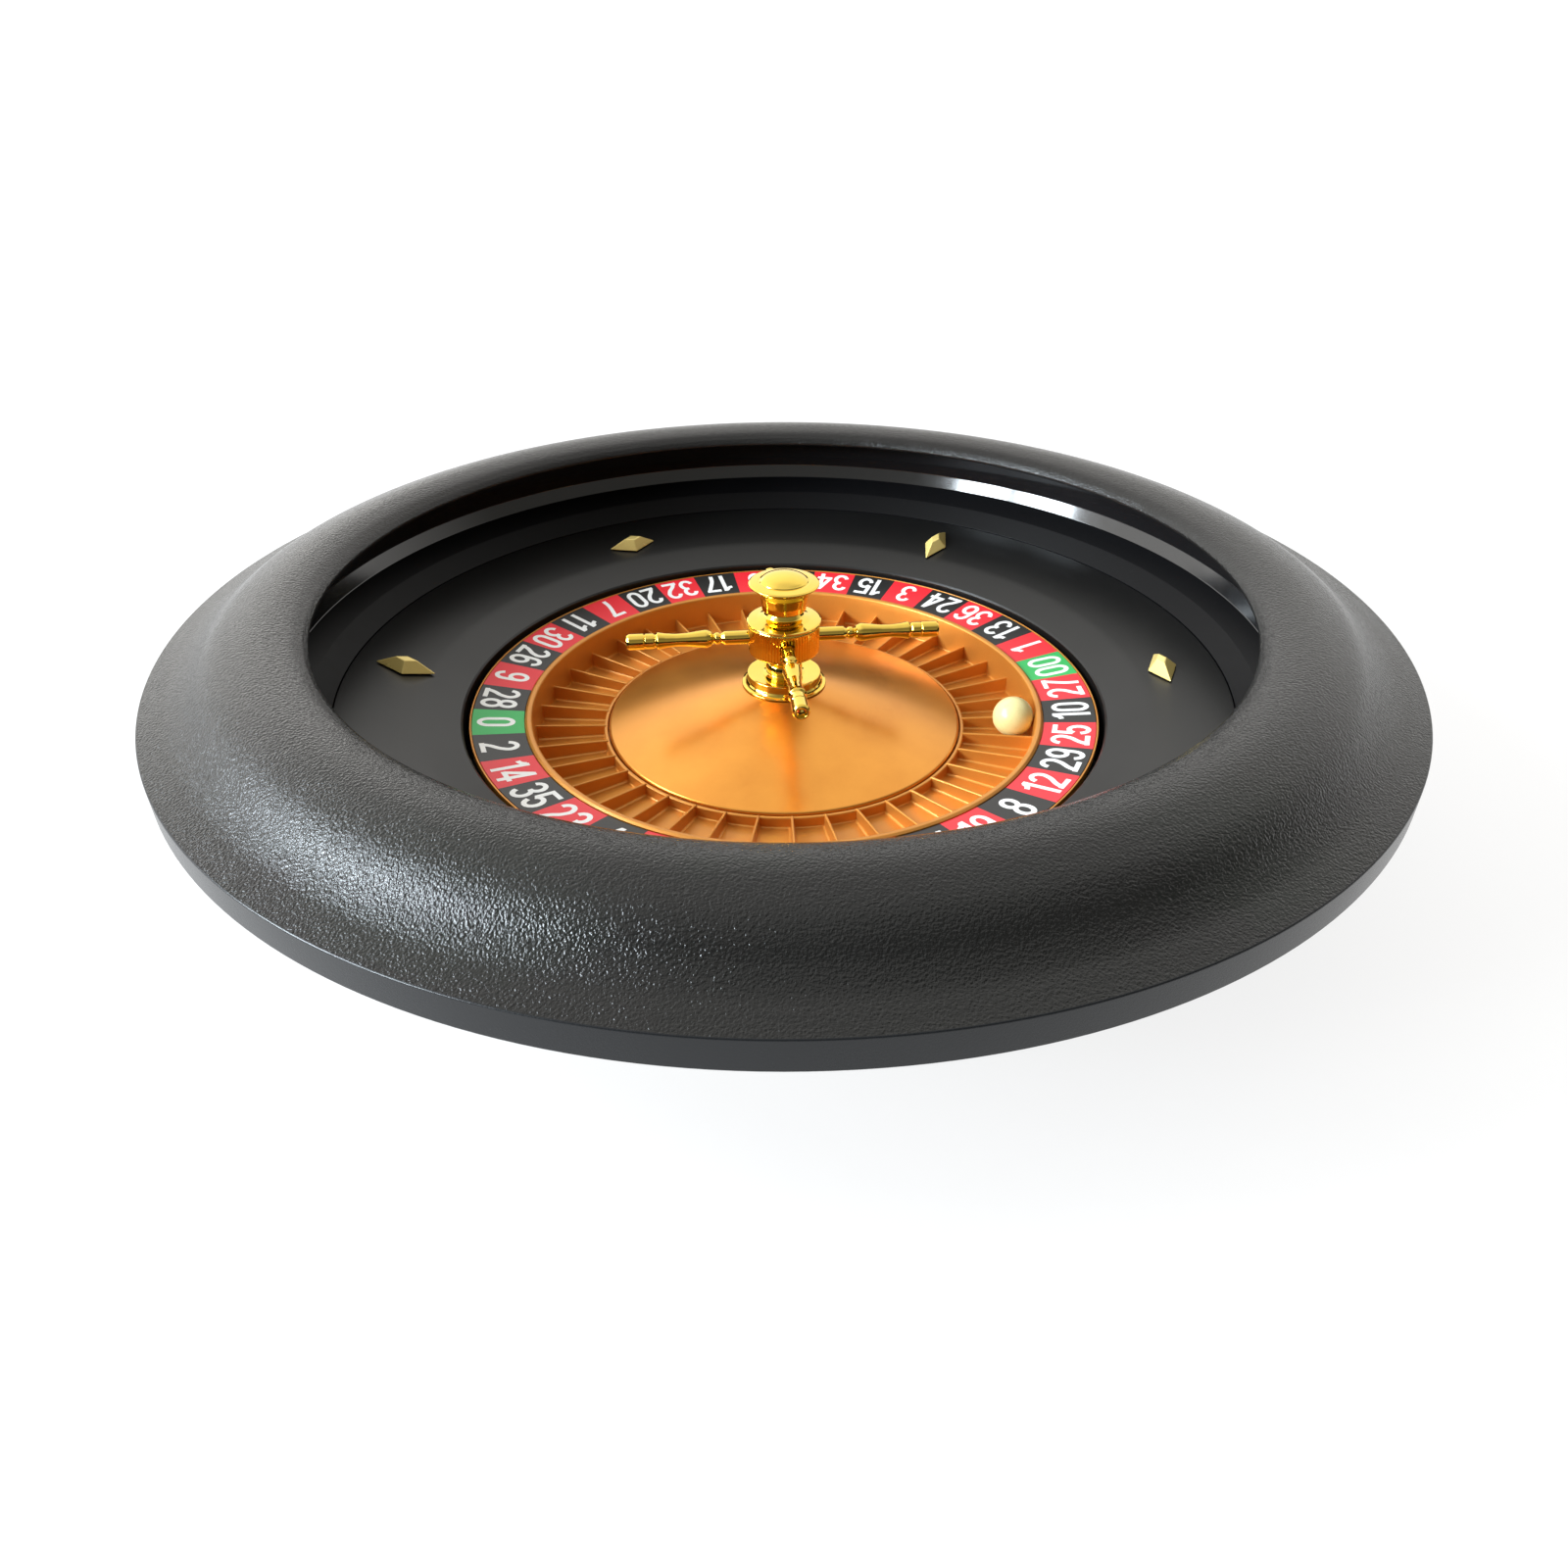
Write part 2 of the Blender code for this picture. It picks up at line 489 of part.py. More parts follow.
def make_hub(parent):
    """Bearing housing with a flange screwed to the dish, and its screws."""
    seat = BEARING_RADIUS + TOUCH / 2.0
    shoulder = 12.8
    low, high = 14.4, RETAINING_RING_LOW + 1.2
    lower_seat = LOWER_BEARING_HEIGHT + BEARING_WIDTH + TOUCH
    upper_seat = UPPER_BEARING_HEIGHT - TOUCH
    outline = [(seat, low), (HUB_RADIUS, low), (HUB_RADIUS, HUB_FLANGE_LOW),
               (HUB_FLANGE_RADIUS, HUB_FLANGE_LOW), (HUB_FLANGE_RADIUS, HUB_FLANGE_TOP),
               (HUB_RADIUS, HUB_FLANGE_TOP), (HUB_RADIUS, high), (seat, high), (seat, upper_seat),
               (shoulder, upper_seat), (shoulder, lower_seat), (seat, lower_seat)]
    hub = turned("hub_housing", outline, MATTE_BLACK, parent, SMALL_SEGMENTS)
    drill(hub, [(2.1, HUB_FLANGE_LOW - 2.0, HUB_FLANGE_TOP + 2.0, place)
                for place in hub_screw_places()])
    for index, place in enumerate(hub_screw_places(), 1):
        make_screw(f"hub_screw_{index}", place, 1.45, 3.3, 21.2, HUB_FLANGE_TOP + TOUCH, 2.2,
                   parent, True)


# ---- turret -------------------------------------------------------------------------------------
ROD_RADIUS = 3.0
ROD_BORE = 3.3
DRUM_RADIUS = 15.8
DRUM_LOW, DRUM_TOP = 65.5, 79.2


def make_turret(parent):
    """Gold turret: base, fluted drum with four handles, flared collar and domed cap on one rod."""
    base = [(ROD_BORE, TURRET_SEAT + TOUCH), (19.0, TURRET_SEAT + TOUCH), (19.0, 50.0),
            (17.3, 50.5), (16.6, 51.6), (16.6, 54.3), (15.9, 54.9), (7.6, 55.0), (8.2, 56.6),
            (8.1, 58.4), (6.6, 60.2), (5.8, 61.0), (8.8, 62.4), (9.0, DRUM_LOW - TOUCH),
            (ROD_BORE, DRUM_LOW - TOUCH)]
    turned("turret_base", base, BRIGHT_GOLD, parent, SMALL_SEGMENTS)
    collar_low = DRUM_TOP + TOUCH
    collar = [(ROD_BORE, collar_low), (16.0, collar_low), (16.4, 79.9), (16.4, 80.4),
              (15.7, 80.8), (11.8, 81.5), (8.6, 82.7), (7.6, 84.1), (7.4, 85.5), (9.0, 85.6),
              (9.2, 88.5), (9.7, 92.4), (10.8, 95.2), (ROD_BORE, 95.2)]
    turned("turret_collar", collar, BRIGHT_GOLD, parent, SMALL_SEGMENTS)
    cap = [(ROD_BORE, 95.5), (11.0, 95.5), (15.3, 96.9), (15.5, 97.5), (14.8, 98.0),
           (11.0, 98.6), (10.4, 99.2), (8.4, 100.4), (4.8, 101.5), (0.0, 101.9), (0.0, 98.2),
           (ROD_BORE, 98.2)]
    object_from("turret_cap", spun_closed_on_axis(cap), BRIGHT_GOLD, parent)
    rod = [(0.0, 41.4), (ROD_RADIUS, 41.4), (ROD_RADIUS, 97.9), (0.0, 97.9)]
    turned("turret_rod", rod, BRIGHT_STEEL, parent, FASTENER_SEGMENTS)
    make_hex_nut("turret_nut", 5.8, ROD_BORE, 42.2, TURRET_SEAT - 2.8 - TOUCH, parent)
    make_drum(parent)
    make_handles(parent)


def spun_closed_on_axis(outline):
    """Turn an outline whose last points step back from the axis to a bore."""
    tip = next(index for index, point in enumerate(outline) if point[0] == 0.0)
    ordered = outline[tip + 1:] + outline[:tip + 1]
    return spun([(0.0, ordered[0][1])] + ordered[1:] if ordered[0][0] == 0.0 else ordered,
                SMALL_SEGMENTS)


def make_drum(parent):
    """Drum with upright flutes all round, a bore and four holes for the handles."""
    depth = 0.45
    bm = bmesh.new()
    corners = []
    for index in range(2 * FLUTE_COUNT):
        angle = math.pi * index / FLUTE_COUNT
        radius = DRUM_RADIUS - (depth if index % 2 else 0.0)
        corners.append(bm.verts.new((radius * math.cos(angle), radius * math.sin(angle), DRUM_LOW)))
    base = bm.faces.new(corners)
    raised = bmesh.ops.extrude_face_region(bm, geom=[base])["geom"]
    top = [item for item in raised if isinstance(item, bmesh.types.BMVert)]
    bmesh.ops.translate(bm, vec=(0.0, 0.0, DRUM_TOP - DRUM_LOW), verts=top)
    drum = object_from("turret_drum", bm, BRIGHT_GOLD, parent)
    lying = Matrix.Translation((0.0, 0.0, HANDLE_HEIGHT)) @ Matrix.Rotation(math.pi / 2.0, 4, "Y")
    holes = [(ROD_BORE, DRUM_LOW - 1.0, DRUM_TOP + 1.0, Matrix.Identity(4))]
    holes += [(HANDLE_ROD_RADIUS + TOUCH, 8.4, DRUM_RADIUS + 2.0, at_azimuth(azimuth) @ lying)
              for azimuth in azimuths(HANDLE_COUNT, HANDLE_AZIMUTH)]
    drill(drum, holes, SMALL_SEGMENTS)


def make_handles(parent):
    """Four turned spokes. The outline is (radius, distance from the rotor's axis)."""
    rod = HANDLE_ROD_RADIUS
    outline = [(0.0, 9.0), (rod, 9.0), (rod, 26.8), (2.1, 28.0), (2.7, 29.0), (2.6, 30.2),
               (1.9, 31.2), (3.5, 32.5), (4.1, 34.6), (3.8, 38.0), (3.1, 43.0), (2.9, 47.5),
               (3.4, 53.0), (3.8, 55.6), (2.9, 56.8), (3.5, 57.8), (3.5, 61.0), (3.1, 61.4),
               (3.6, 61.9), (3.6, 68.4), (3.1, 69.3), (2.2, 69.3), (2.1, 66.8), (0.0, 66.8)]
    for index, azimuth in enumerate(azimuths(HANDLE_COUNT, HANDLE_AZIMUTH), 1):
        handle = object_from(f"handle_{index}", spun(outline, HANDLE_SEGMENTS), BRIGHT_GOLD, parent)
        lying = Matrix.Translation((0.0, 0.0, HANDLE_HEIGHT * MM))
        lying = lying @ Matrix.Rotation(math.pi / 2.0, 4, "Y")
        handle.matrix_local = at_azimuth(azimuth) @ lying


# ---- ball ---------------------------------------------------------------------------------------
def make_ball(parent):
    """Ball resting between two frets and the pocket wall."""
    circle_radius, height = 103.9, 38.5
    azimuth = FIRST_POCKET_AZIMUTH - 360.0 * BALL_POCKET / POCKET_COUNT
    bm = bmesh.new()
    bmesh.ops.create_uvsphere(bm, u_segments=16, v_segments=10, radius=BALL_RADIUS)
    ball = object_from("ball", bm, CREAM, parent)
    place = at_azimuth(azimuth, circle_radius).to_translation() + Vector((0.0, 0.0, height))
    ball.location = place * MM


def main():
    """Build every body in turn."""
    clear_scene()
    bowl = axis_empty("bowl_axis")
    make_rim_shell(bowl)
    make_ball_track(bowl)
    make_apron(bowl)
    make_base_pan(bowl)
    make_rim_screws(bowl)
    make_feet(bowl)
    make_deflectors(bowl)
    make_spindle(bowl)

    rotor = axis_empty("rotor_axis")
    make_rotor_dish(rotor)
    make_number_ring(rotor)
    make_fret_ring(rotor)
    make_rotor_cone(rotor)
    make_hub(rotor)
    make_turret(rotor)
    make_bearing("lower", LOWER_BEARING_HEIGHT, bowl, rotor, axis_empty("lower_cage_axis"))
    make_bearing("upper", UPPER_BEARING_HEIGHT, bowl, rotor, axis_empty("upper_cage_axis"))
    make_ball(rotor)


main()
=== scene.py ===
"""Home roulette wheel, dressed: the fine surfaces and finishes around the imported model.

Every measure is in millimetres, as on a workshop drawing, and is turned into metres where a mesh
is made. Z is the height above the table and a radius is taken from the rotor's axis. A turned
piece is given by its outline, whose corners are (radius, height, rounding).
"""

import enum
import logging
import math
from dataclasses import dataclass, field
from typing import Callable, Iterable, Mapping, NamedTuple, Sequence, Union

import bpy
from mathutils import Matrix, Vector


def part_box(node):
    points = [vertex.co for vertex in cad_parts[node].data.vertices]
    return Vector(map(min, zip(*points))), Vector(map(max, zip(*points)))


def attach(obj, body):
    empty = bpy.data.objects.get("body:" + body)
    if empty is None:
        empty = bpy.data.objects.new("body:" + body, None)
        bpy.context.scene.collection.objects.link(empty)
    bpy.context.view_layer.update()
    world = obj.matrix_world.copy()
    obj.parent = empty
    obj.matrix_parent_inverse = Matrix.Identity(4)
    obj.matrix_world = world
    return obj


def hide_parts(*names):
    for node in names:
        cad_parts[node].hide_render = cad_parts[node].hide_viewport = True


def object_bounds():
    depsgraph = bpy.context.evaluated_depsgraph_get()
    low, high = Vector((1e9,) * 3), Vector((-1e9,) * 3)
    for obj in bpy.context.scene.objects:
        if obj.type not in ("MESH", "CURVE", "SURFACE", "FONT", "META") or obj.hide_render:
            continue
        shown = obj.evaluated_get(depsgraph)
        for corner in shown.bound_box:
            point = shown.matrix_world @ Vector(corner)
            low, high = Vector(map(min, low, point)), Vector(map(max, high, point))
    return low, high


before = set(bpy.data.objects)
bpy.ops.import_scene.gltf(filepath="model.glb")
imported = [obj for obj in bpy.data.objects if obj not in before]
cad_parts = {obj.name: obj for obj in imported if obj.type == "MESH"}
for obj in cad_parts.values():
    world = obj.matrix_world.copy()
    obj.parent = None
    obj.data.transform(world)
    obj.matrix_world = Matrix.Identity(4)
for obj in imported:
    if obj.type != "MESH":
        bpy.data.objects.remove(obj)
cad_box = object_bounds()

MM = 0.001
log = logging.getLogger("roulette_wheel")
Colour = tuple[float, float, float]


# ---- shader graph -------------------------------------------------------------------------------
class Signal:
    """A shader value that sums and products work on. Each operation adds one Math node."""

    def __init__(self, graph: "ShaderGraph", socket: bpy.types.NodeSocket) -> None:
        """Wrap a socket of a graph."""
        self.graph = graph
        self.socket = socket

    def __add__(self, other: "Value") -> "Signal":
        """Sum of the two."""
        return self.graph.math("ADD", self, other)

    def __sub__(self, other: "Value") -> "Signal":
        """This less the other."""
        return self.graph.math("SUBTRACT", self, other)

    def __rsub__(self, other: "Value") -> "Signal":
        """The other less this."""
        return self.graph.math("SUBTRACT", other, self)

    def __mul__(self, other: "Value") -> "Signal":
        """Product of the two."""
        return self.graph.math("MULTIPLY", self, other)

    def __pow__(self, other: "Value") -> "Signal":
        """This raised to the other."""
        return self.graph.math("POWER", self, other)

    __radd__ = __add__
    __rmul__ = __mul__


Value = Union[Signal, float]


class ShaderGraph:
    """Nodes of one material or of the world, made one expression at a time."""

    def __init__(self, tree: bpy.types.NodeTree) -> None:
        """Work on a node tree."""
        self.tree = tree

    def node(self, kind: str, settings: Mapping[str, object], inputs: Mapping) -> bpy.types.Node:
        """Add one node.

        Args:
            kind: the node's type.
            settings: its own properties, and "stops", the (position, colour) pairs of a ramp.
            inputs: the values or links of its sockets, by name or number.

        Returns:
            The new node.
        """
        made = self.tree.nodes.new(kind)
        for name, value in settings.items():
            if name == "stops":
                self._set_stops(made.color_ramp, value)
            else:
                setattr(made, name, value)
        for name, value in inputs.items():
            self.feed(made.inputs[name], value)
        return made

    @staticmethod
    def _set_stops(ramp: bpy.types.ColorRamp, stops: Sequence) -> None:
        """Give a ramp its (position, colour) stops.

        Args:
            ramp: the colour ramp.
            stops: the pairs.
        """
        while len(ramp.elements) < len(stops):
            ramp.elements.new(1.0)
        for element, (position, colour) in zip(ramp.elements, stops):
            element.position = position
            element.color = (*colour, 1.0)

    def feed(self, socket: bpy.types.NodeSocket, value: object) -> None:
        """Link a signal to a socket, or set the socket to a constant.

        Args:
            socket: the node's input.
            value: the signal or the constant.
        """
        if isinstance(value, Signal):
            self.tree.links.new(value.socket, socket)
        elif socket.type == "RGBA" and len(value) == 3:
            socket.default_value = (*value, 1.0)
        else:
            socket.default_value = value

    def math(self, operation: str, *values: Value) -> Signal:
        """One Math node on its values."""
        made = self.node("ShaderNodeMath", {"operation": operation}, dict(enumerate(values)))
        return Signal(self, made.outputs[0])

    def place(self, offset: Sequence[float] = (0.0, 0.0, 0.0)) -> Signal:
        """The point on the piece in metres, moved by an offset.

        Args:
            offset: the shift in metres.

        Returns:
            The point, as a vector signal.
        """
        seat = self.node("ShaderNodeTexCoord", {}, {})
        mapping = self.node("ShaderNodeMapping", {}, {
            "Vector": Signal(self, seat.outputs["Object"]), "Location": offset})
        return Signal(self, mapping.outputs[0])

    def noise(self, grain_mm: float, detail: float = 2.0, stretch: Sequence[float] = (1, 1, 1),
              offset: Sequence[float] = (0.0, 0.0, 0.0)) -> Signal:
        """Cloudy pattern.

        Args:
            grain_mm: size of its largest clouds.
            detail: how many finer layers it has.
            stretch: how much finer it is along each axis.
            offset: a shift in metres, so that two patterns differ.

        Returns:
            The pattern, from 0 to 1.
        """
        spread = self.node("ShaderNodeVectorMath", {"operation": "MULTIPLY"}, {
            0: self.place(offset), 1: stretch})
        made = self.node("ShaderNodeTexNoise", {}, {
            "Vector": Signal(self, spread.outputs[0]), "Scale": 1.0 / (grain_mm * MM),
            "Detail": detail, "Roughness": 0.55})
        return Signal(self, made.outputs[0])

    def pebbles(self, size_mm: float) -> Signal:
        """Packed rounded grains: 0 at the middle of a grain, and about 1 between grains.

        Args:
            size_mm: about how far apart the grains are.

        Returns:
            The pattern.
        """
        made = self.node("ShaderNodeTexVoronoi", {"feature": "SMOOTH_F1"}, {
            "Vector": self.place(), "Scale": 1.0 / (size_mm * MM), "Smoothness": 0.35,
            "Randomness": 1.0})
        return Signal(self, made.outputs["Distance"])

    def ramp(self, amount: Signal, *stops: tuple[float, Colour]) -> Signal:
        """Colour that follows an amount through its stops."""
        made = self.node("ShaderNodeValToRGB", {"stops": stops}, {"Fac": amount})
        return Signal(self, made.outputs[0])

    def blend(self, amount: Value, low: object, high: object) -> Signal:
        """Colour between two colours."""
        made = self.node("ShaderNodeMix", {"data_type": "RGBA"}, {0: amount, 6: low, 7: high})
        return Signal(self, made.outputs[2])

    def bump(self, height: Signal, depth_mm: float, strength: float = 1.0) -> Signal:
        """Normal of a relief whose full height is depth_mm.

        Args:
            height: the relief, from 0 to 1.
            depth_mm: its full height.
            strength: how much of it counts.

        Returns:
            The bumped normal.
        """
        made = self.node("ShaderNodeBump", {}, {
            "Height": height, "Distance": depth_mm * MM, "Strength": strength})
        return Signal(self, made.outputs[0])


# ---- finishes -----------------------------------------------------------------------------------
@dataclass(frozen=True)
class Finish:
    """A finish that pieces are dressed in. Its material is made once, and shared by them."""

    name: str

    def material(self) -> bpy.types.Material:
        """The finish's material, made when it is first asked for.

        Returns:
            The material, which has a name of its own beside the plain model's slots.
        """
        title = "dressed_" + self.name
        made = bpy.data.materials.get(title)
        if made is None:
            made = bpy.data.materials.new(title)
            made.use_nodes = True
            graph = ShaderGraph(made.node_tree)
            shader = made.node_tree.nodes["Principled BSDF"]
            for socket, value in self.surface(graph).items():
                graph.feed(shader.inputs[socket], value)
        return made

    def surface(self, graph: ShaderGraph) -> dict[str, object]:
        """What each socket of the shader is given.

        Args:
            graph: the material's nodes, to which patterns are added.

        Returns:
            A value or a signal for each socket, by the socket's name.
        """
        raise NotImplementedError

    def dress(self, *pieces: bpy.types.Object) -> None:
        """Put the finish all over some pieces.

        Args:
            pieces: the pieces.
        """
        for piece in pieces:
            if not piece.data.materials:
                piece.data.materials.append(self.material())
            for place in piece.material_slots:
                place.material = self.material()


@dataclass(frozen=True)
class GrainedPlastic(Finish):
    """Black plastic with a moulded sand grain."""

    colour: Colour = (0.0075, 0.0075, 0.0072)
    grain_mm: float = 1.15
    depth_mm: float = 0.38
    roughness: float = 0.18
    shine: float = 0.39

    def surface(self, graph: ShaderGraph) -> dict[str, object]:
        """Packed grains over a fine tooth, a little duller in patches.

        Args:
            graph: the material's nodes.

        Returns:
            What each socket is given.
        """
        grain = 1.0 - graph.pebbles(self.grain_mm)
        tooth = graph.noise(self.grain_mm * 0.75, 1.0)
        relief = grain * 0.30 + tooth
        patches = graph.noise(46.0, 3.0)
        dust = tuple(channel * 1.6 + 0.002 for channel in self.colour)
        return {
            "Base Color": graph.blend(patches * tooth, self.colour, dust),
            "Roughness": patches * 0.08 + (self.roughness - 0.05) + tooth * 0.04,
            "Specular IOR Level": self.shine,
            "Normal": graph.bump(relief, self.depth_mm),
        }


@dataclass(frozen=True)
class PolishedPlastic(Finish):
    """Black plastic straight from a polished mould, with faint flow waves and handling marks."""

    colour: Colour = (0.008, 0.0075, 0.008)
    roughness: float = 0.05
    shine: float = 0.5

    def surface(self, graph: ShaderGraph) -> dict[str, object]:
        """A deep gloss that handling has dulled in faint patches.

        Args:
            graph: the material's nodes.

        Returns:
            What each socket is given.
        """
        marks = graph.noise(28.0, 4.0) * graph.noise(5.0, 2.0, offset=(0.3, 0.1, 0.2))
        waves = graph.noise(70.0, 1.0, offset=(0.1, 0.2, 0.0))
        lint = graph.noise(0.9, 1.0) ** 9.0
        return {
            "Base Color": graph.blend(lint, self.colour, (0.03, 0.03, 0.03)),
            "Roughness": marks * 0.10 + self.roughness,
            "Specular IOR Level": self.shine,
            "Normal": graph.bump(waves, 0.12, 0.35),
        }


@dataclass(frozen=True)
class SmoothPlastic(Finish):
    """Fine matte plastic, such as the apron's, with a spark eroded tooth."""

    colour: Colour = (0.0045, 0.0045, 0.0045)
    roughness: float = 0.33
    tooth_mm: float = 0.35

    def surface(self, graph: ShaderGraph) -> dict[str, object]:
        """An even tooth, slightly polished where the ball runs.

        Args:
            graph: the material's nodes.

        Returns:
            What each socket is given.
        """
        tooth = graph.noise(self.tooth_mm, 2.0)
        patches = graph.noise(60.0, 4.0, offset=(0.2, 0.0, 0.1))
        lint = graph.noise(0.8, 1.0, offset=(0.5, 0.5, 0.5)) ** 12.0
        return {
            "Base Color": graph.blend(lint, self.colour, (0.09, 0.09, 0.09)),
            "Roughness": patches * 0.10 + (self.roughness - 0.05),
            "Normal": graph.bump(tooth, 0.006, 0.4),
        }


@dataclass(frozen=True)
class Rubber(Finish):
    """Moulded black rubber with a chalky bloom."""

    def surface(self, graph: ShaderGraph) -> dict[str, object]:
        """Dull, with pale bloom in patches.

        Args:
            graph: the material's nodes.

        Returns:
            What each socket is given.
        """
        bloom = graph.noise(3.0, 4.0)
        return {
            "Base Color": graph.blend(bloom, (0.012, 0.012, 0.012), (0.05, 0.05, 0.048)),
            "Roughness": bloom * 0.2 + 0.7,
            "Normal": graph.bump(graph.noise(0.3, 2.0), 0.02),
        }


@dataclass(frozen=True)
class GoldPaint(Finish):
    """Orange gold metallic paint, sprayed satin."""

    deep: Colour = (0.72, 0.27, 0.034)
    light: Colour = (0.94, 0.41, 0.064)
    roughness: float = 0.30
    metallic: float = 0.92
    lacquer: float = 0.35
    lacquer_roughness: float = 0.20

    def surface(self, graph: ShaderGraph) -> dict[str, object]:
        """Fine flakes in a slightly uneven coat.

        Args:
            graph: the material's nodes.

        Returns:
            What each socket is given.
        """
        coat = graph.noise(34.0, 3.0)
        flakes = graph.noise(0.16, 1.0)
        peel = graph.noise(1.7, 2.0, offset=(0.1, 0.3, 0.0))
        shade = coat * 0.5 + flakes * 0.5
        return {
            "Base Color": graph.ramp(shade, (0.30, self.deep), (0.68, self.light)),
            "Roughness": coat * 0.10 + flakes * 0.08 + (self.roughness - 0.09),
            "Metallic": self.metallic,
            "Normal": graph.bump(peel * 0.6 + flakes * 0.12, 0.02, 0.5),
            "Coat Weight": self.lacquer,
            "Coat Roughness": self.lacquer_roughness,
        }


@dataclass(frozen=True)
class GoldPlate(Finish):
    """Bright gold plating over a polished casting."""

    colour: Colour = (1.0, 0.70, 0.13)
    roughness: float = 0.045
    ripple_mm: float = 0.02
    metallic: float = 1.0

    def surface(self, graph: ShaderGraph) -> dict[str, object]:
        """Mirror bright, with polishing ripples and faint finger marks.

        Args:
            graph: the material's nodes.

        Returns:
            What each socket is given.
        """
        marks = graph.noise(6.0, 4.0)
        ripple = graph.noise(4.5, 2.0, offset=(0.2, 0.1, 0.4))
        tone = tuple(channel * 0.90 for channel in self.colour)
        return {
            "Base Color": graph.blend(marks, self.colour, tone),
            "Roughness": marks ** 2.0 * 0.16 + self.roughness,
            "Metallic": self.metallic,
            "Normal": graph.bump(ripple, self.ripple_mm, 0.8),
        }


class Ink(enum.Enum):
    """Colours printed on the number plate."""

    RED = ("printed_red", (0.80, 0.014, 0.028))
    BLACK = ("printed_black", (0.008, 0.008, 0.008))
    GREEN = ("printed_green", (0.020, 0.44, 0.095))
    WHITE = ("printed_white", (0.90, 0.90, 0.89))


@dataclass(frozen=True)
class Print(Finish):
    """Printing ink under a clear film."""

    colour: Colour
    roughness: float = 0.30

    @classmethod
    def of(cls, ink: Ink) -> "Print":
        """The finish of one ink."""
        return cls(*ink.value)

    def surface(self, graph: ShaderGraph) -> dict[str, object]:
        """Ink that lies a little unevenly under a smooth film.

        Args:
            graph: the material's nodes.

        Returns:
            What each socket is given.
        """
        lay = graph.noise(0.5, 3.0)
        thin = tuple(min(1.0, channel * 1.10 + 0.006) for channel in self.colour)
        return {
            "Base Color": graph.blend(lay, self.colour, thin),
            "Roughness": lay * 0.08 + (self.roughness - 0.04),
            "Normal": graph.bump(graph.noise(1.4, 2.0), 0.006, 0.5),
        }


@dataclass(frozen=True)
class Resin(Finish):
    """Polished cream resin."""

    colour: Colour = (0.78, 0.66, 0.27)

    def surface(self, graph: ShaderGraph) -> dict[str, object]:
        """Faint clouds in the resin, and small scuffs from play.

        Args:
            graph: the material's nodes.

        Returns:
            What each socket is given.
        """
        clouds = graph.noise(7.0, 3.0)
        scuffs = graph.noise(1.1, 3.0, (1.0, 4.0, 1.0)) ** 4.0
        return {
            "Base Color": graph.blend(clouds, self.colour, (0.84, 0.74, 0.36)),
            "Roughness": scuffs * 0.5 + 0.26,
            "Normal": graph.bump(scuffs, 0.01, 0.6),
        }


@dataclass(frozen=True)
class Steel(Finish):
    """Machined or plated steel, with fine turning marks."""

    colour: Colour = (0.55, 0.55, 0.57)
    roughness: float = 0.24

    def surface(self, graph: ShaderGraph) -> dict[str, object]:
        """Rings from the tool, and dull spots.

        Args:
            graph: the material's nodes.

        Returns:
            What each socket is given.
        """
        rings = graph.noise(0.4, 2.0, (0.15, 0.15, 3.0))
        spots = graph.noise(2.0, 4.0)
        tone = tuple(channel * 0.8 for channel in self.colour)
        return {
            "Base Color": graph.blend(spots, self.colour, tone),
            "Roughness": rings * 0.12 + spots * 0.12 + (self.roughness - 0.08),
            "Metallic": 1.0,
            "Normal": graph.bump(rings, 0.01, 0.6),
        }


@dataclass(frozen=True)
class StudioPaper(Finish):
    """White sweep, lit from behind so that shadows on it stay faint."""

    glow: float = 0.82

    def surface(self, graph: ShaderGraph) -> dict[str, object]:
        """Even white with a very faint fibre.

        Args:
            graph: the material's nodes.

        Returns:
            What each socket is given.
        """
        fibre = graph.noise(9.0, 4.0)
        return {
            "Base Color": graph.blend(fibre, (0.17, 0.17, 0.17), (0.19, 0.19, 0.19)),
            "Roughness": fibre * 0.05 + 0.75,
            "Emission Color": (1.0, 1.0, 1.0),
            "Emission Strength": self.glow,
        }


GRAINED = GrainedPlastic("grained_black")
SKIRT = GrainedPlastic("grained_skirt", (0.0045, 0.0055, 0.007), 0.9, 0.03, 0.26)
GLOSS = PolishedPlastic("gloss_black")
BAND = PolishedPlastic("gloss_band", (0.006, 0.006, 0.0065), 0.10, 1.0)
# Painted shade: a darker, less shiny copy of the gloss, laid on the track's lower slope in place
# of the shade under the wall.
SHADED_RUN = PolishedPlastic("ball_run", (0.0025, 0.0025, 0.003), 0.36, 0.14)
MATTE = SmoothPlastic("matte_black")
PAN = SmoothPlastic("pan_black", (0.016, 0.016, 0.017), 0.48, 0.5)
RUBBER = Rubber("rubber_black")
PAINT = GoldPaint("satin_gold")
POCKET = GoldPaint("pocket_gold", (0.62, 0.245, 0.036), (0.78, 0.34, 0.056), 0.46, 0.62)
PLATE = GoldPlate("bright_gold")
STUD = GoldPlate("pale_brass", (1.0, 0.78, 0.27), 0.20, 0.015, 0.35)
CREAM = Resin("cream")
STEEL = Steel("bright_steel")
ZINC = Steel("zinc", (0.46, 0.47, 0.50), 0.34)


# ---- outlines -----------------------------------------------------------------------------------
class Corner(NamedTuple):
    """A corner of an outline, mm: how far out, how high, and the radius that rounds it."""

    out: float
    up: float
    rounding: float = 0.0


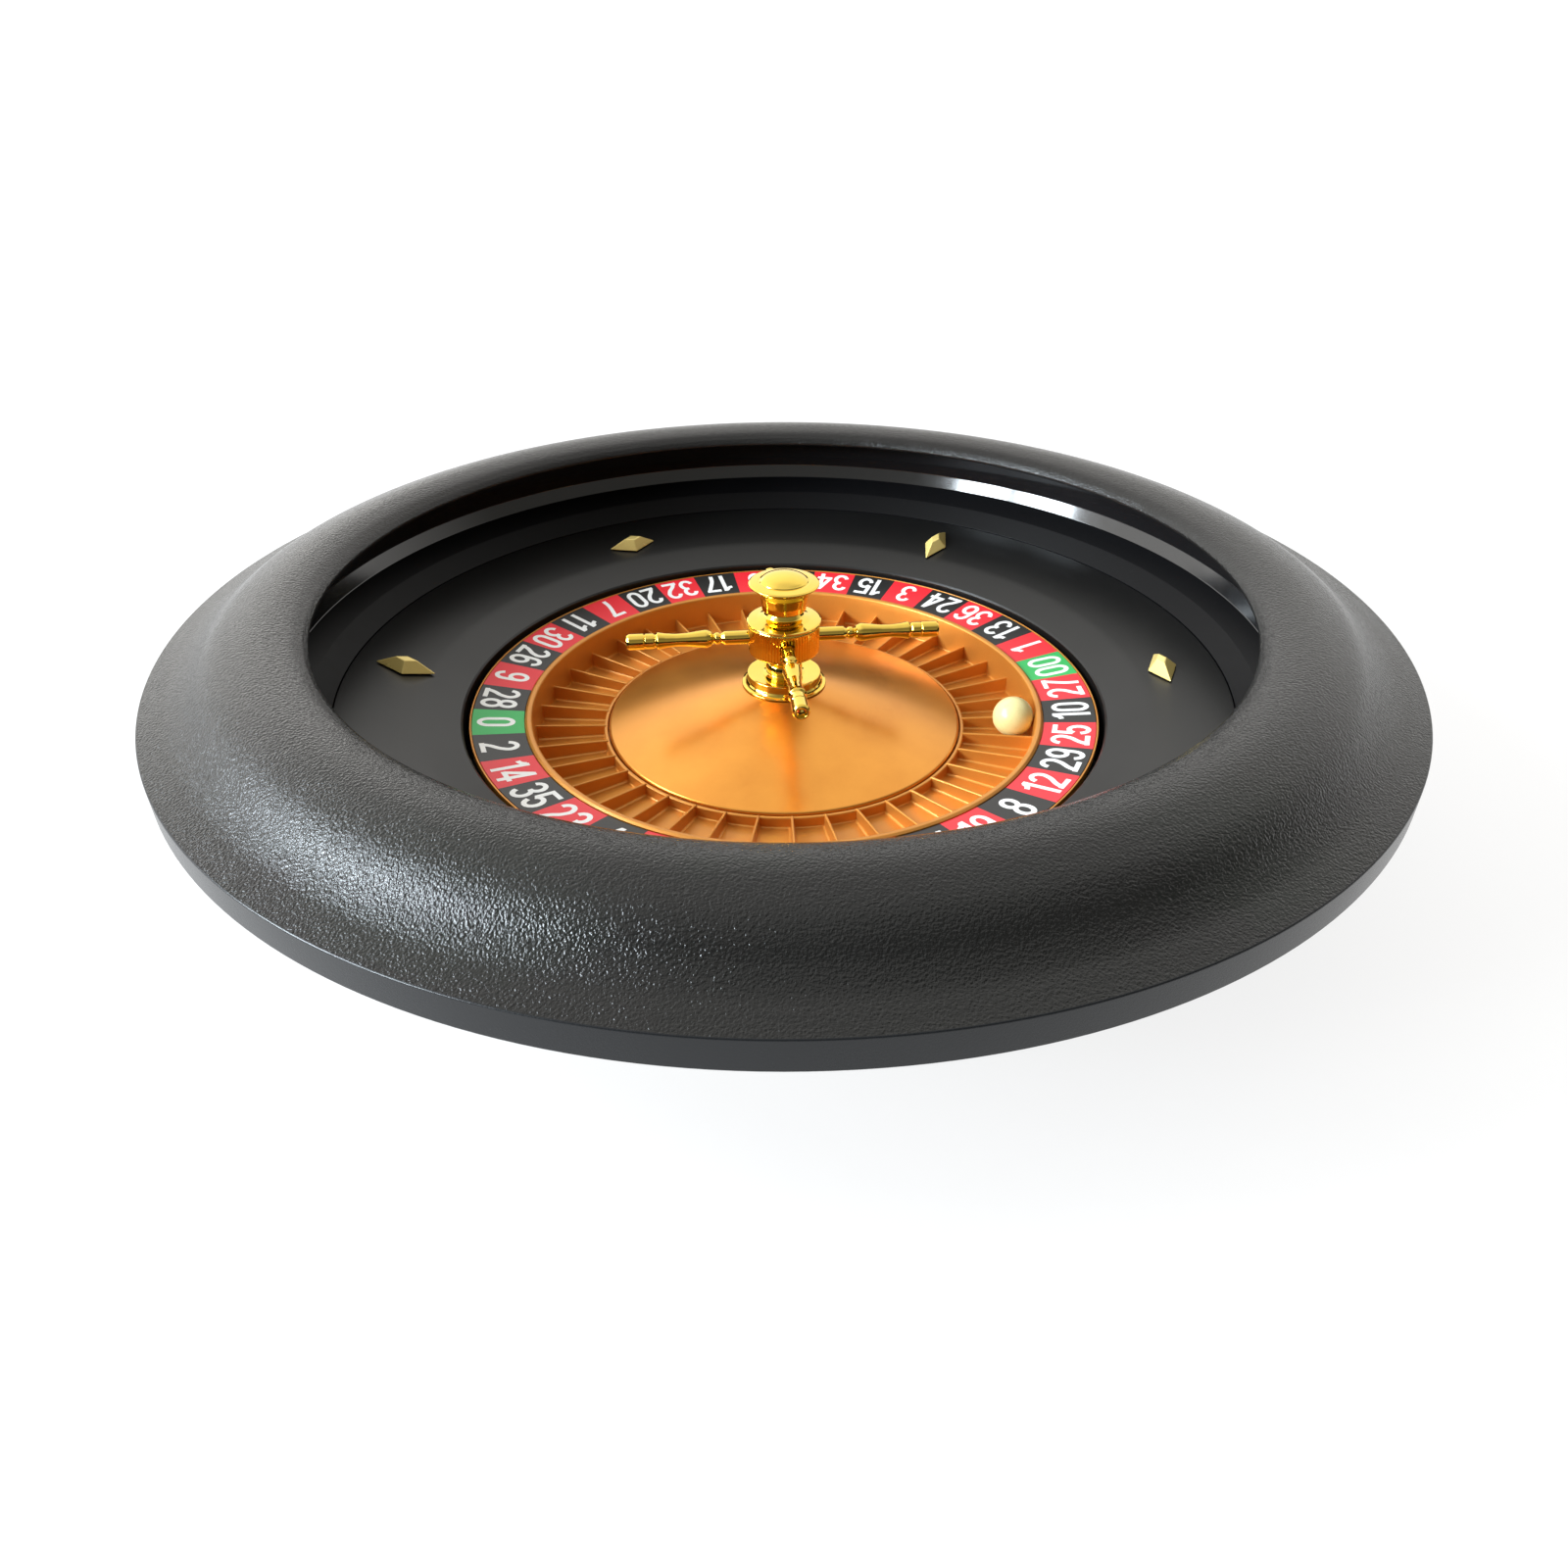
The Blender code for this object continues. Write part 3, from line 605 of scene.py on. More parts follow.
def rounded(corners: Sequence[Corner], closed: bool = True, steps: int = 5) -> list[Vector]:
    """Points of an outline with its corners rounded.

    Args:
        corners: the outline's corners in order.
        closed: whether the last corner joins the first.
        steps: straight pieces in each rounding.

    Returns:
        Points in the outline's plane, mm.
    """
    most_of_side = 0.48
    flat = [Vector((corner.out, corner.up)) for corner in corners]
    points = []
    for index, corner in enumerate(corners):
        here = flat[index]
        at_end = not closed and index in (0, len(flat) - 1)
        if corner.rounding <= 0.0 or at_end:
            points.append(here)
            continue
        back = flat[index - 1] - here
        ahead = flat[(index + 1) % len(flat)] - here
        half = back.angle(ahead) / 2.0
        room = most_of_side * min(back.length, ahead.length)
        reach = min(corner.rounding / math.tan(half), room)
        bisector = (back.normalized() + ahead.normalized()).normalized()
        centre = here + bisector * (reach / math.cos(half))
        start = here + back.normalized() * reach - centre
        end = here + ahead.normalized() * reach - centre
        sweep = math.atan2(start.x * end.y - start.y * end.x, start.dot(end))
        for step in range(steps + 1):
            turn = sweep * step / steps
            across = Vector((-start.y, start.x))
            points.append(centre + start * math.cos(turn) + across * math.sin(turn))
    return points


def flowing(points: Sequence[tuple[float, float]], steps: int) -> list[Vector]:
    """Points of one smooth curve through all the points given.

    Args:
        points: the points that the curve passes through.
        steps: straight pieces between two of them.

    Returns:
        Points along the curve.
    """
    knots = [Vector(point) for point in points]
    knots = [2 * knots[0] - knots[1]] + knots + [2 * knots[-1] - knots[-2]]
    curve = []
    for first, start, end, last in zip(knots, knots[1:], knots[2:], knots[3:]):
        for step in range(steps):
            along = step / steps
            curve.append(0.5 * (2 * start + (end - first) * along
                                + (2 * first - 5 * start + 4 * end - last) * along ** 2
                                + (3 * start - first - 3 * end + last) * along ** 3))
    return curve + [knots[-2]]


def beside(points: Sequence[Vector], distance: float) -> list[Vector]:
    """The outline moved sideways, to the right of its own direction.

    Args:
        points: the outline.
        distance: how far it moves.

    Returns:
        The moved points.
    """
    moved = []
    for index, point in enumerate(points):
        along = points[min(index + 1, len(points) - 1)] - points[max(index - 1, 0)]
        along.normalize()
        moved.append(point + Vector((along.y, -along.x)) * distance)
    return moved


def arc(centre: tuple[float, float], radii: tuple[float, float], start: float, end: float,
        steps: int = 14) -> list[tuple[float, float]]:
    """Points along part of an ellipse, between two angles in degrees.

    Args:
        centre: the ellipse's middle.
        radii: its radii across and up.
        start: the angle of the first point.
        end: the angle of the last point.
        steps: straight pieces between them.

    Returns:
        The points.
    """
    turns = [math.radians(start + (end - start) * step / steps) for step in range(steps + 1)]
    return [(centre[0] + radii[0] * math.cos(turn), centre[1] + radii[1] * math.sin(turn))
            for turn in turns]


def corners_of(points: Iterable[Vector]) -> list[Corner]:
    """Plain corners at some points."""
    return [Corner(point[0], point[1]) for point in points]


# ---- modelling bench ----------------------------------------------------------------------------
def turned_to(azimuth: float, radius: float = 0.0, height: float = 0.0) -> Matrix:
    """Matrix that carries a piece on +X, at a radius and height in mm, round to an azimuth."""
    shift = Matrix.Translation((radius * MM, 0.0, height * MM))
    return Matrix.Rotation(math.radians(azimuth), 4, "Z") @ shift


def evenly(count: int, first: float = 0.0) -> list[float]:
    """Azimuths in degrees, evenly spaced."""
    return [first + 360.0 * index / count for index in range(count)]


class Bench:
    """The modelling bench: Blender's operators, each at work on the one piece that is picked."""

    @staticmethod
    def pick(*pieces: bpy.types.Object) -> None:
        """Select only these pieces, in object mode. The last one is active.

        Args:
            pieces: the pieces, or none to deselect all.
        """
        if bpy.context.object is not None and bpy.context.object.mode != "OBJECT":
            bpy.ops.object.mode_set(mode="OBJECT")
        bpy.ops.object.select_all(action="DESELECT")
        for piece in pieces:
            piece.select_set(True)
            bpy.context.view_layer.objects.active = piece

    @staticmethod
    def name(piece: bpy.types.Object, name: str) -> None:
        """Name a piece and its mesh."""
        piece.name = name
        piece.data.name = name

    @classmethod
    def wire(cls, name: str, points: Sequence[Vector], closed: bool) -> bpy.types.Object:
        """Wire drawn point by point, left in edit mode with all of it selected.

        Args:
            name: the piece's name.
            points: where the wire goes, in metres.
            closed: whether it comes back to its first point.

        Returns:
            The piece.
        """
        cls.pick()
        bpy.ops.mesh.primitive_plane_add(size=MM, location=points[0])
        piece = bpy.context.object
        cls.name(piece, name)
        bpy.ops.object.mode_set(mode="EDIT")
        bpy.ops.mesh.merge(type="CENTER")
        route = list(points) + ([points[0]] if closed else [])
        for before, after in zip(route, route[1:]):
            bpy.ops.mesh.extrude_region_move(TRANSFORM_OT_translate={"value": after - before})
        bpy.ops.mesh.select_all(action="SELECT")
        bpy.ops.mesh.remove_doubles(threshold=1e-7)
        return piece

    @classmethod
    def turn(cls, name: str, outline: Sequence[Vector], segments: int, closed: bool = True,
             azimuth: float = 0.0) -> bpy.types.Object:
        """Piece turned about Z.

        Args:
            name: the piece's name.
            outline: (radius, height) points in mm.
            segments: sides of the piece.
            closed: False for an outline that begins and ends on the axis.
            azimuth: where the first side begins, in degrees.

        Returns:
            The piece, in place.
        """
        outward = Vector((math.cos(math.radians(azimuth)), math.sin(math.radians(azimuth)), 0.0))
        points = [outward * (radius * MM) + Vector((0.0, 0.0, height * MM))
                  for radius, height in outline]
        piece = cls.wire(name, points, closed)
        bpy.ops.mesh.spin(steps=segments, angle=math.tau, center=(0.0, 0.0, 0.0),
                          axis=(0.0, 0.0, 1.0))
        return cls.close(piece)

    @classmethod
    def close(cls, piece: bpy.types.Object, smooth_to: float = 32.0) -> bpy.types.Object:
        """Merge a piece's doubles, point its faces outwards and shade it smooth up to an angle.

        Args:
            piece: the piece.
            smooth_to: the sharpest angle, in degrees, that is shaded smooth.

        Returns:
            The same piece.
        """
        cls.pick(piece)
        bpy.ops.object.mode_set(mode="EDIT")
        bpy.ops.mesh.select_all(action="SELECT")
        bpy.ops.mesh.remove_doubles(threshold=1e-6)
        bpy.ops.mesh.normals_make_consistent(inside=False)
        bpy.ops.object.mode_set(mode="OBJECT")
        cls.settle(piece)
        bpy.ops.object.shade_smooth_by_angle(angle=math.radians(smooth_to))
        cls.modify(piece, "WEIGHTED_NORMAL", keep_sharp=True)
        return piece

    @classmethod
    def settle(cls, piece: bpy.types.Object) -> None:
        """Move a piece's place into its mesh, which leaves its origin on the axis at the table."""
        cls.pick(piece)
        bpy.ops.object.transform_apply(location=True, rotation=True, scale=True)

    @classmethod
    def modify(cls, piece: bpy.types.Object, kind: str, **settings: object) -> None:
        """Finish a piece with one modifier, and apply it.

        Args:
            piece: the piece.
            kind: the modifier's type.
            settings: its properties.
        """
        cls.pick(piece)
        change = piece.modifiers.new(kind.lower(), kind)
        for name, value in settings.items():
            setattr(change, name, value)
        bpy.ops.object.modifier_apply(modifier=change.name)

    @classmethod
    def combine(cls, piece: bpy.types.Object, tool: bpy.types.Object, operation: str) -> None:
        """Join a tool to a piece, or cut it away, and throw the tool away."""
        cls.modify(piece, "BOOLEAN", operation=operation, solver="EXACT", object=tool)
        bpy.data.objects.remove(tool, do_unlink=True)

    @classmethod
    def copy(cls, piece: bpy.types.Object, name: str, place: Matrix) -> bpy.types.Object:
        """Copy a piece with a mesh of its own, and move the copy by a matrix.

        Args:
            piece: what is copied.
            name: the copy's name.
            place: the matrix.

        Returns:
            The copy.
        """
        cls.pick(piece)
        bpy.ops.object.duplicate(linked=False)
        made = bpy.context.object
        cls.name(made, name)
        made.matrix_world = place @ piece.matrix_world
        cls.settle(made)
        return made

    @classmethod
    def series(cls, pattern: bpy.types.Object, name: str,
               places: Sequence[Matrix]) -> list[bpy.types.Object]:
        """Copies of a pattern piece at several places, numbered from 1. The pattern is removed.

        Args:
            pattern: what is copied.
            name: the copies' name, without its number.
            places: a matrix for each copy.

        Returns:
            The copies in order.
        """
        made = [cls.copy(pattern, f"{name}_{index}", place)
                for index, place in enumerate(places, 1)]
        bpy.data.objects.remove(pattern, do_unlink=True)
        return made

    @classmethod
    def join(cls, name: str, pieces: Sequence[bpy.types.Object]) -> bpy.types.Object:
        """Join several pieces into one.

        Args:
            name: the new piece's name.
            pieces: the pieces.

        Returns:
            The joined piece.
        """
        cls.pick(*pieces)
        bpy.ops.object.join()
        made = bpy.context.object
        cls.name(made, name)
        return made

    @staticmethod
    def choose(piece: bpy.types.Object, inside: Callable[[Vector], bool]) -> None:
        """Select a piece's points by their place in mm, and go into edit mode.

        Args:
            piece: the piece.
            inside: whether a point is selected.
        """
        Bench.pick(piece)
        bpy.ops.object.mode_set(mode="EDIT")
        bpy.ops.mesh.select_mode(type="VERT")
        bpy.ops.mesh.select_all(action="DESELECT")
        bpy.ops.object.mode_set(mode="OBJECT")
        for point in piece.data.vertices:
            point.select = inside(piece.matrix_world @ point.co / MM)
        bpy.ops.object.mode_set(mode="EDIT")


def hand_over(piece: bpy.types.Object, body: str, slot: str, *nodes: str) -> bpy.types.Object:
    """Put a finished piece on its body.

    Args:
        piece: the finished piece.
        body: the body that it moves with.
        slot: the record's material slot; not used.
        nodes: the plain nodes that it stands for.

    Returns:
        The same piece.
    """
    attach(piece, body)
    if nodes:
        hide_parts(*nodes)
    triangles = sum(len(face.vertices) - 2 for face in piece.data.polygons)
    log.info("%s: %d triangles, on %s", piece.name, triangles, body)
    return piece


# ---- bowl ---------------------------------------------------------------------------------------
@dataclass
class Bowl:
    """Fixed bowl: rim, track, apron and pan, with the feet and the screws under them."""

    segments: int = 256
    radius: float = 254.0
    flange: float = 76.0
    wall: float = 3.0
    skirt: float = 11.4
    lip: Corner = Corner(191.6, 99.7, 1.3)
    crown: tuple = ((193.6, 102.5), (197.4, 105.0), (203.0, 106.4), (208.5, 106.8),
                    (215.0, 106.0), (224.0, 103.2), (230.0, 99.6), (235.5, 94.8), (242.0, 90.8),
                    (248.0, 88.9), (252.9, 87.6))
    screw_circle: float = 243.0
    screw_azimuths: tuple = tuple(evenly(6, 30.0))
    foot_circle: float = 150.0
    foot_azimuths: tuple = tuple(evenly(4, 45.0))
    foot_height: float = 6.0

    def build(self) -> None:
        """Make every piece of the bowl."""
        self.make_rim()
        self.make_track()
        self.make_apron()
        self.make_pan()
        self.make_feet()
        self.make_screws()

    def make_rim(self) -> None:
        """Hollow grained rim: a broad soft crown that falls to a shallow brim and a skirt."""
        top = flowing(self.crown, 6)
        hollow = [point for point in beside(top, self.wall) if point.x < self.screw_circle - 5.5]
        lip_under = Corner(self.lip.out + 2.6, self.lip.up - 1.6, 1.1)
        inner = self.radius - self.wall
        skirt_top = self.flange + self.skirt
        ring_low = self.flange + 6.9
        edge = [Corner(self.radius, skirt_top, 0.8), Corner(self.radius, self.flange, 0.5),
                Corner(inner, self.flange, 0.4), Corner(inner, skirt_top - 3.0, 1.0),
                Corner(self.screw_circle + 4.5, skirt_top - 1.6, 0.6),
                Corner(self.screw_circle + 4.5, ring_low, 0.3),
                Corner(self.screw_circle - 4.5, ring_low, 0.3),
                Corner(self.screw_circle - 4.5, skirt_top + 2.2, 0.6)]
        outline = [self.lip] + corners_of(top) + edge + corners_of(hollow[::-1]) + [lip_under]
        rim = Bench.turn("crown_and_skirt", rounded(outline), self.segments)
        GRAINED.dress(rim)
        rim.data.materials.append(SKIRT.material())
        for face in rim.data.polygons:
            outside = face.center.xy.length > (self.radius - 0.75) * MM
            face.material_index = int(outside)
        hand_over(rim, "bowl", "grained_black", "rim_shell")

    def make_track(self) -> None:
        """Ring that the ball circles in, with a bright narrow band over a darker, duller strip of
        painted shade, standing in for the wall's shade on the lower slope.
        """
        outline = [Corner(203.8, 102.4, 0.4), Corner(206.6, 94.0, 4.0), Corner(211.0, 82.0, 0.9),
                   Corner(208.5, 75.5, 0.8), Corner(200.0, 69.2, 3.0), Corner(192.7, 61.6, 0.2),
                   Corner(192.7, 58.0, 0.3), Corner(186.0, 56.2, 0.3), Corner(186.0, 53.4, 0.3),
                   Corner(194.5, 55.6, 0.5), Corner(202.6, 66.4, 2.0), Corner(210.4, 73.0, 2.0),
                   Corner(213.4, 79.6, 0.8), Corner(248.0, 79.6, 0.3), Corner(248.0, 82.6, 0.3),
                   Corner(214.0, 82.6, 0.8), Corner(209.6, 94.6, 3.0), Corner(206.6, 102.8, 0.4)]
        track = Bench.turn("track_ring", rounded(outline), self.segments)
        GLOSS.dress(track)
        # The lower slope's faces get the painted-shade copy of the gloss.
        zones = ((BAND, 211.5, 75.3, 81.9), (SHADED_RUN, 208.2, 58.5, 75.3))
        for index, (finish, reach, low, high) in enumerate(zones, 1):
            track.data.materials.append(finish.material())
            for face in track.data.polygons:
                if face.center.xy.length < reach * MM and low * MM < face.center.z < high * MM:
                    face.material_index = index
        hand_over(track, "bowl", "gloss_black", "ball_track")

    def make_apron(self) -> None:
        """Matte cone that the ball falls down, with a lip round the rotor."""
        outline = [Corner(142.5, 38.5, 0.3), Corner(142.5, 46.5, 0.3), Corner(143.2, 47.3, 0.4),
                   Corner(160.0, 52.95, 60.0), Corner(170.7, 55.69), Corner(192.4, 61.37, 0.3),
                   Corner(192.4, 58.5, 0.2), Corner(170.7, 52.86), Corner(145.2, 46.3, 0.8),
                   Corner(145.2, 38.5, 0.3)]
        apron = Bench.turn("apron_cone", rounded(outline), self.segments)
        MATTE.dress(apron)
        hand_over(apron, "bowl", "matte_black", "apron")

    def make_pan(self) -> None:
        """Tapered pan: flange, wall, floor with a raised middle, and the ring under the apron."""
        outline = [Corner(5.4, 9.3), Corner(38.0, 9.3, 1.5), Corner(42.0, 6.3, 1.5),
                   Corner(167.0, 6.3, 3.0), Corner(172.5, 8.9, 4.0), Corner(232.5, 72.5, 4.0),
                   Corner(236.5, 76.3, 0.8), Corner(250.0, 76.3, 0.4), Corner(250.0, 79.3, 0.4),
                   Corner(234.8, 79.3, 1.0), Corner(229.8, 74.2, 3.0), Corner(170.4, 11.3, 2.0),
                   Corner(166.6, 9.3, 1.0), Corner(150.0, 9.3, 0.8), Corner(150.0, 46.6, 0.4),
                   Corner(147.0, 46.6, 0.4), Corner(147.0, 9.3, 0.8), Corner(44.0, 9.3, 1.0),
                   Corner(40.0, 12.5, 1.0), Corner(5.4, 12.5)]
        pan = Bench.turn("tapered_pan", rounded(outline), self.segments)
        PAN.dress(pan)
        hand_over(pan, "bowl", "matte_black", "base_pan")

    def make_feet(self) -> None:
        """Rubber feet, each with a recess for its screw."""
        outline = [Corner(1.9, 2.6), Corner(4.6, 2.6, 0.3), Corner(4.6, 0.0, 0.5),
                   Corner(11.0, 0.0, 0.8), Corner(12.5, self.foot_height - 1.0, 0.5),
                   Corner(12.5, self.foot_height, 0.2), Corner(1.9, self.foot_height)]
        foot = Bench.turn("foot_pattern", rounded(outline), 64)
        RUBBER.dress(foot)
        places = [self._upright(azimuth, self.foot_circle) for azimuth in self.foot_azimuths]
        for index, made in enumerate(Bench.series(foot, "rubber_foot", places), 1):
            hand_over(made, "bowl", "rubber_black", f"foot_{index}")

    @staticmethod
    def _upright(azimuth: float, radius: float) -> Matrix:
        """Matrix that carries a piece out along an azimuth without turning it."""
        return Matrix.Translation(turned_to(azimuth, radius).to_translation())

    def make_screws(self) -> None:
        """Cross-headed screws under the flange and in the feet, heads down."""
        flange_places = [self._upright(azimuth, self.screw_circle)
                         for azimuth in self.screw_azimuths]
        foot_places = [self._upright(azimuth, self.foot_circle)
                       for azimuth in self.foot_azimuths]
        kinds = ((Screw(3.8, 2.4, 1.45, self.flange, 86.3), "rim_screw", flange_places),
                 (Screw(3.6, 1.4, 1.5, 2.3, 10.6), "foot_screw", foot_places))
        for screw, node, places in kinds:
            pattern = screw.build()
            for index, made in enumerate(Bench.series(pattern, "fine_" + node, places), 1):
                hand_over(made, "bowl", "zinc", f"{node}_{index}")


@dataclass
class Screw:
    """Cross-headed screw with its head down. Its shank runs from low up to high."""

    head: float
    head_height: float
    shank: float
    low: float
    high: float

    def build(self) -> bpy.types.Object:
        """Turn the screw and cut the cross in its head.

        Returns:
            The screw, standing on the axis.
        """
        under = self.low - self.head_height
        outline = [Corner(0.0, under), Corner(self.head * 0.8, under, self.head_height * 0.5),
                   Corner(self.head, self.low - 0.3, 0.2), Corner(self.head, self.low, 0.1),
                   Corner(self.shank, self.low), Corner(self.shank, self.high - 1.4),
                   Corner(self.shank * 0.4, self.high, 0.2), Corner(0.0, self.high)]
        screw = Bench.turn("screw_pattern", rounded(outline, closed=False), 40, closed=False)
        for turn in (0.0, 90.0):
            Bench.pick()
            depth = self.head_height * 0.6
            bpy.ops.mesh.primitive_cube_add(size=1.0, location=(0.0, 0.0, under * MM))
            slot = bpy.context.object
            slot.scale = Vector((self.head * 1.05, self.head * 0.24, depth * 2.0)) * MM
            slot.rotation_euler = (0.0, 0.0, math.radians(turn))
            Bench.settle(slot)
            Bench.combine(screw, slot, "DIFFERENCE")
        ZINC.dress(screw)
        return Bench.close(screw)


@dataclass
class Studs:
    """Diamond studs on the apron, lying along the track and across it by turns."""

    count: int = 6
    circle: float = 170.7
    half_length: float = 14.0
    half_width: float = 6.5
    height: float = 5.0
    plateau: float = 0.34
    apron_height: float = 56.3
    apron_slope: float = 0.255

    def build(self) -> None:
        """Cut one stud and set copies of it round the apron."""
        Bench.pick()
        bpy.ops.mesh.primitive_circle_add(vertices=4, radius=MM, fill_type="NGON")
        stud = bpy.context.object
        stud.scale = (self.half_length, self.half_width, 1.0)
        Bench.settle(stud)
        bpy.ops.object.mode_set(mode="EDIT")
        bpy.ops.mesh.select_all(action="SELECT")
        lift = {"value": (0.0, 0.0, self.height * MM)}
        bpy.ops.mesh.extrude_region_move(TRANSFORM_OT_translate=lift)
        shrink = (self.plateau, self.plateau, 1.0)
        bpy.ops.transform.resize(value=shrink, center_override=(0.0, 0.0, self.height * MM))
        bpy.ops.object.mode_set(mode="OBJECT")
        Bench.modify(stud, "BEVEL", width=0.55 * MM, segments=4, limit_method="ANGLE",
                     harden_normals=False)
        Bench.close(stud, 40.0)
        STUD.dress(stud)
        tilt = Matrix.Rotation(-math.atan(self.apron_slope), 4, "Y")
        places = []
        for index, azimuth in enumerate(evenly(self.count)):
            along = Matrix.Rotation(0.0 if index % 2 else math.pi / 2.0, 4, "Z")
            places.append(turned_to(azimuth, self.circle, self.apron_height) @ tilt @ along)
        for index, made in enumerate(Bench.series(stud, "stud", places), 1):
            hand_over(made, "bowl", "pale_brass", f"deflector_{index}")


# ---- rotor --------------------------------------------------------------------------------------
@dataclass
class Pockets:
    """How the rotor is divided: its pockets and the numbers beside them, clockwise from 0."""

    first: float = 191.75
    order: tuple = ("0", "28", "9", "26", "30", "11", "7", "20", "32", "17", "5", "22", "34", "15",
                    "3", "24", "36", "13", "1", "00", "27", "10", "25", "29", "12", "8", "19",
                    "31", "18", "6", "21", "33", "16", "4", "23", "35", "14", "2")

    @property
    def pitch(self) -> float:
        """Angle of one pocket in degrees."""
        return 360.0 / len(self.order)

    def azimuth(self, index: float) -> float:
        """Azimuth of a pocket's middle, counted clockwise from the 0."""
        return self.first - index * self.pitch

    def index_at(self, azimuth: float) -> int:
        """The pocket that an azimuth falls in."""
        return round((self.first - azimuth) / self.pitch) % len(self.order)

    def ink(self, index: int) -> Ink:
        """Colour of a pocket's number.

        Args:
            index: the pocket, counted from the 0.

        Returns:
            Its ink.
        """
        if self.order[index] in ("0", "00"):
            return Ink.GREEN
        return Ink.BLACK if index % 2 else Ink.RED


@dataclass
class NumberPlate:
    """Printed ring with the numbers, let into the dish."""

    pockets: Pockets
    outer: float = 139.0
    inner: float = 116.9
    top: float = 44.7
    top_radius: float = 139.3
    slope: float = 0.122
    thickness: float = 1.0
    sides_per_pocket: int = 7

    def height(self, radius: float) -> float:
        """Height of the plate's face at a radius."""
        return self.top - (self.top_radius - radius) * self.slope

    def build(self) -> None:
        """Make the plate and its numbers."""
        outline = [Corner(self.outer, self.height(self.outer), 0.15),
                   Corner(self.inner, self.height(self.inner), 0.15),
                   Corner(self.inner, self.height(self.inner) - self.thickness),
                   Corner(self.outer, self.height(self.outer) - self.thickness)]
        segments = self.sides_per_pocket * len(self.pockets.order)
        start = self.pockets.azimuth(0.5)
        plate = Bench.turn("number_plate", rounded(outline, steps=2), segments, azimuth=start)
        inks = (Ink.RED, Ink.BLACK, Ink.GREEN)
        for ink in inks:
            plate.data.materials.append(Print.of(ink).material())
        for face in plate.data.polygons:
            azimuth = math.degrees(math.atan2(face.center.y, face.center.x))
            face.material_index = inks.index(self.pockets.ink(self.pockets.index_at(azimuth)))
        hand_over(plate, "rotor", "printed_numbers", "number_ring")
        Numerals(self).build()


@dataclass
class Numerals:
    """White condensed numerals. A glyph's strokes run through (across, up) points in mm."""

    plate: NumberPlate
    tall: float = 16.4
    wide: float = 7.9
    stroke: float = 2.15
    gap: float = 1.15
    foot_radius: float = 136.9
    raised: float = 0.05
    narrow: Mapping[str, float] = field(default_factory=lambda: {"1": 5.4})

    def strokes(self, digit: str) -> list[tuple[list, bool]]:
        """Centre lines of a digit's strokes.

        Args:
            digit: the digit.

        Returns:
            For each stroke its points, and whether it is a closed loop.
        """
        side = (self.wide - self.stroke) / 2.0
        low = self.stroke / 2.0
        high = self.tall - low
        bowl = (side, 3.9)
        half_bowl = (side, 3.75)
        if digit == "0":
            top = arc((0.0, high - bowl[1]), bowl, 0.0, 180.0)
            return [(top + arc((0.0, low + bowl[1]), bowl, 180.0, 360.0), True)]
        if digit == "1":
            flag = arc((-2.7, self.tall), (3.4, 3.7), -88.0, -12.0, 8)
            return [([(1.3, 0.0), (1.3, self.tall)], False), (flag, False)]
        if digit == "2":
            head = arc((0.0, high - 3.6), (side, 3.6), 172.0, -20.0)
            sweep = flowing([head[-1], (1.4, 7.6), (-1.1, 4.5), (-side + 0.1, low)], 4)[1:]
            return [(head + sweep, False), ([(-side - low, low), (side + low, low)], False)]
        if digit == "3":
            return [(arc((-0.1, high - 3.4), (side - 0.1, 3.4), 168.0, -95.0), False),
                    (arc((-0.1, low + 3.85), (side + 0.1, 3.85), 95.0, -168.0), False)]
        if digit == "4":
            return [([(1.6, 0.0), (1.6, self.tall)], False),
                    ([(1.35, self.tall - 0.75), (-side - 0.1, 4.6)], False),
                    ([(-side - low, 4.4), (side + low + 0.2, 4.4)], False)]
        if digit == "5":
            return [([(-side + 0.1, high), (side + 0.7, high)], False),
                    ([(-side + 0.35, self.tall), (-side - 0.05, 7.6)], False),
                    (arc((-0.1, low + 4.1), (side + 0.1, 4.1), 152.0, -168.0), False)]
        if digit in "69":
            loop = arc((0.0, low + bowl[1]), bowl, 0.0, 345.0, 26)
            hook = arc((0.0, high - half_bowl[1]), half_bowl, 180.0, 14.0)
            shape = [(loop, True), ([(-side, low + bowl[1])] + hook, False)]
            return shape if digit == "6" else self._upside_down(shape)
        if digit == "7":
            leg = flowing([(side - 0.1, high - 0.3), (0.9, 10.2), (-0.7, 5.0), (-1.1, 0.0)], 4)
            return [([(-side - 0.9, high), (side + low, high)], False), (leg, False)]
        return [(arc((0.0, high - 3.35), (side - 0.25, 3.35), 0.0, 345.0, 26), True),
                (arc((0.0, low + 3.8), (side + 0.05, 3.8), 0.0, 345.0, 26), True)]

    def _upside_down(self, shape: list[tuple[list, bool]]) -> list[tuple[list, bool]]:
        """The same strokes turned half round in their cell."""
        return [([(-point[0], self.tall - point[1]) for point in points], closed)
                for points, closed in shape]

    def cut(self, digit: str) -> bpy.types.Object:
        """Solid digit, flat on the ground plane, with its foot at the origin.

        Args:
            digit: the digit.

        Returns:
            The digit.
        """
        made = None
        for points, closed in self.strokes(digit):
            flat = [Vector((point[0] * MM, point[1] * MM, 0.0)) for point in points]
            stroke = Bench.wire(f"digit_{digit}", flat, closed)
            lift = {"value": (0.0, 0.0, 2.0 * self.raised * MM)}
            bpy.ops.mesh.extrude_region_move(TRANSFORM_OT_translate=lift)
            bpy.ops.object.mode_set(mode="OBJECT")
            Bench.settle(stroke)
            Bench.modify(stroke, "SOLIDIFY", thickness=self.stroke * MM, offset=0.0,
                         use_even_offset=True)
            Bench.close(stroke, 5.0)
            if made is None:
                made = stroke
            else:
                Bench.combine(made, stroke, "UNION")
        return made

    def width(self, digit: str) -> float:
        """Width of a digit."""
        return self.narrow.get(digit, self.wide)

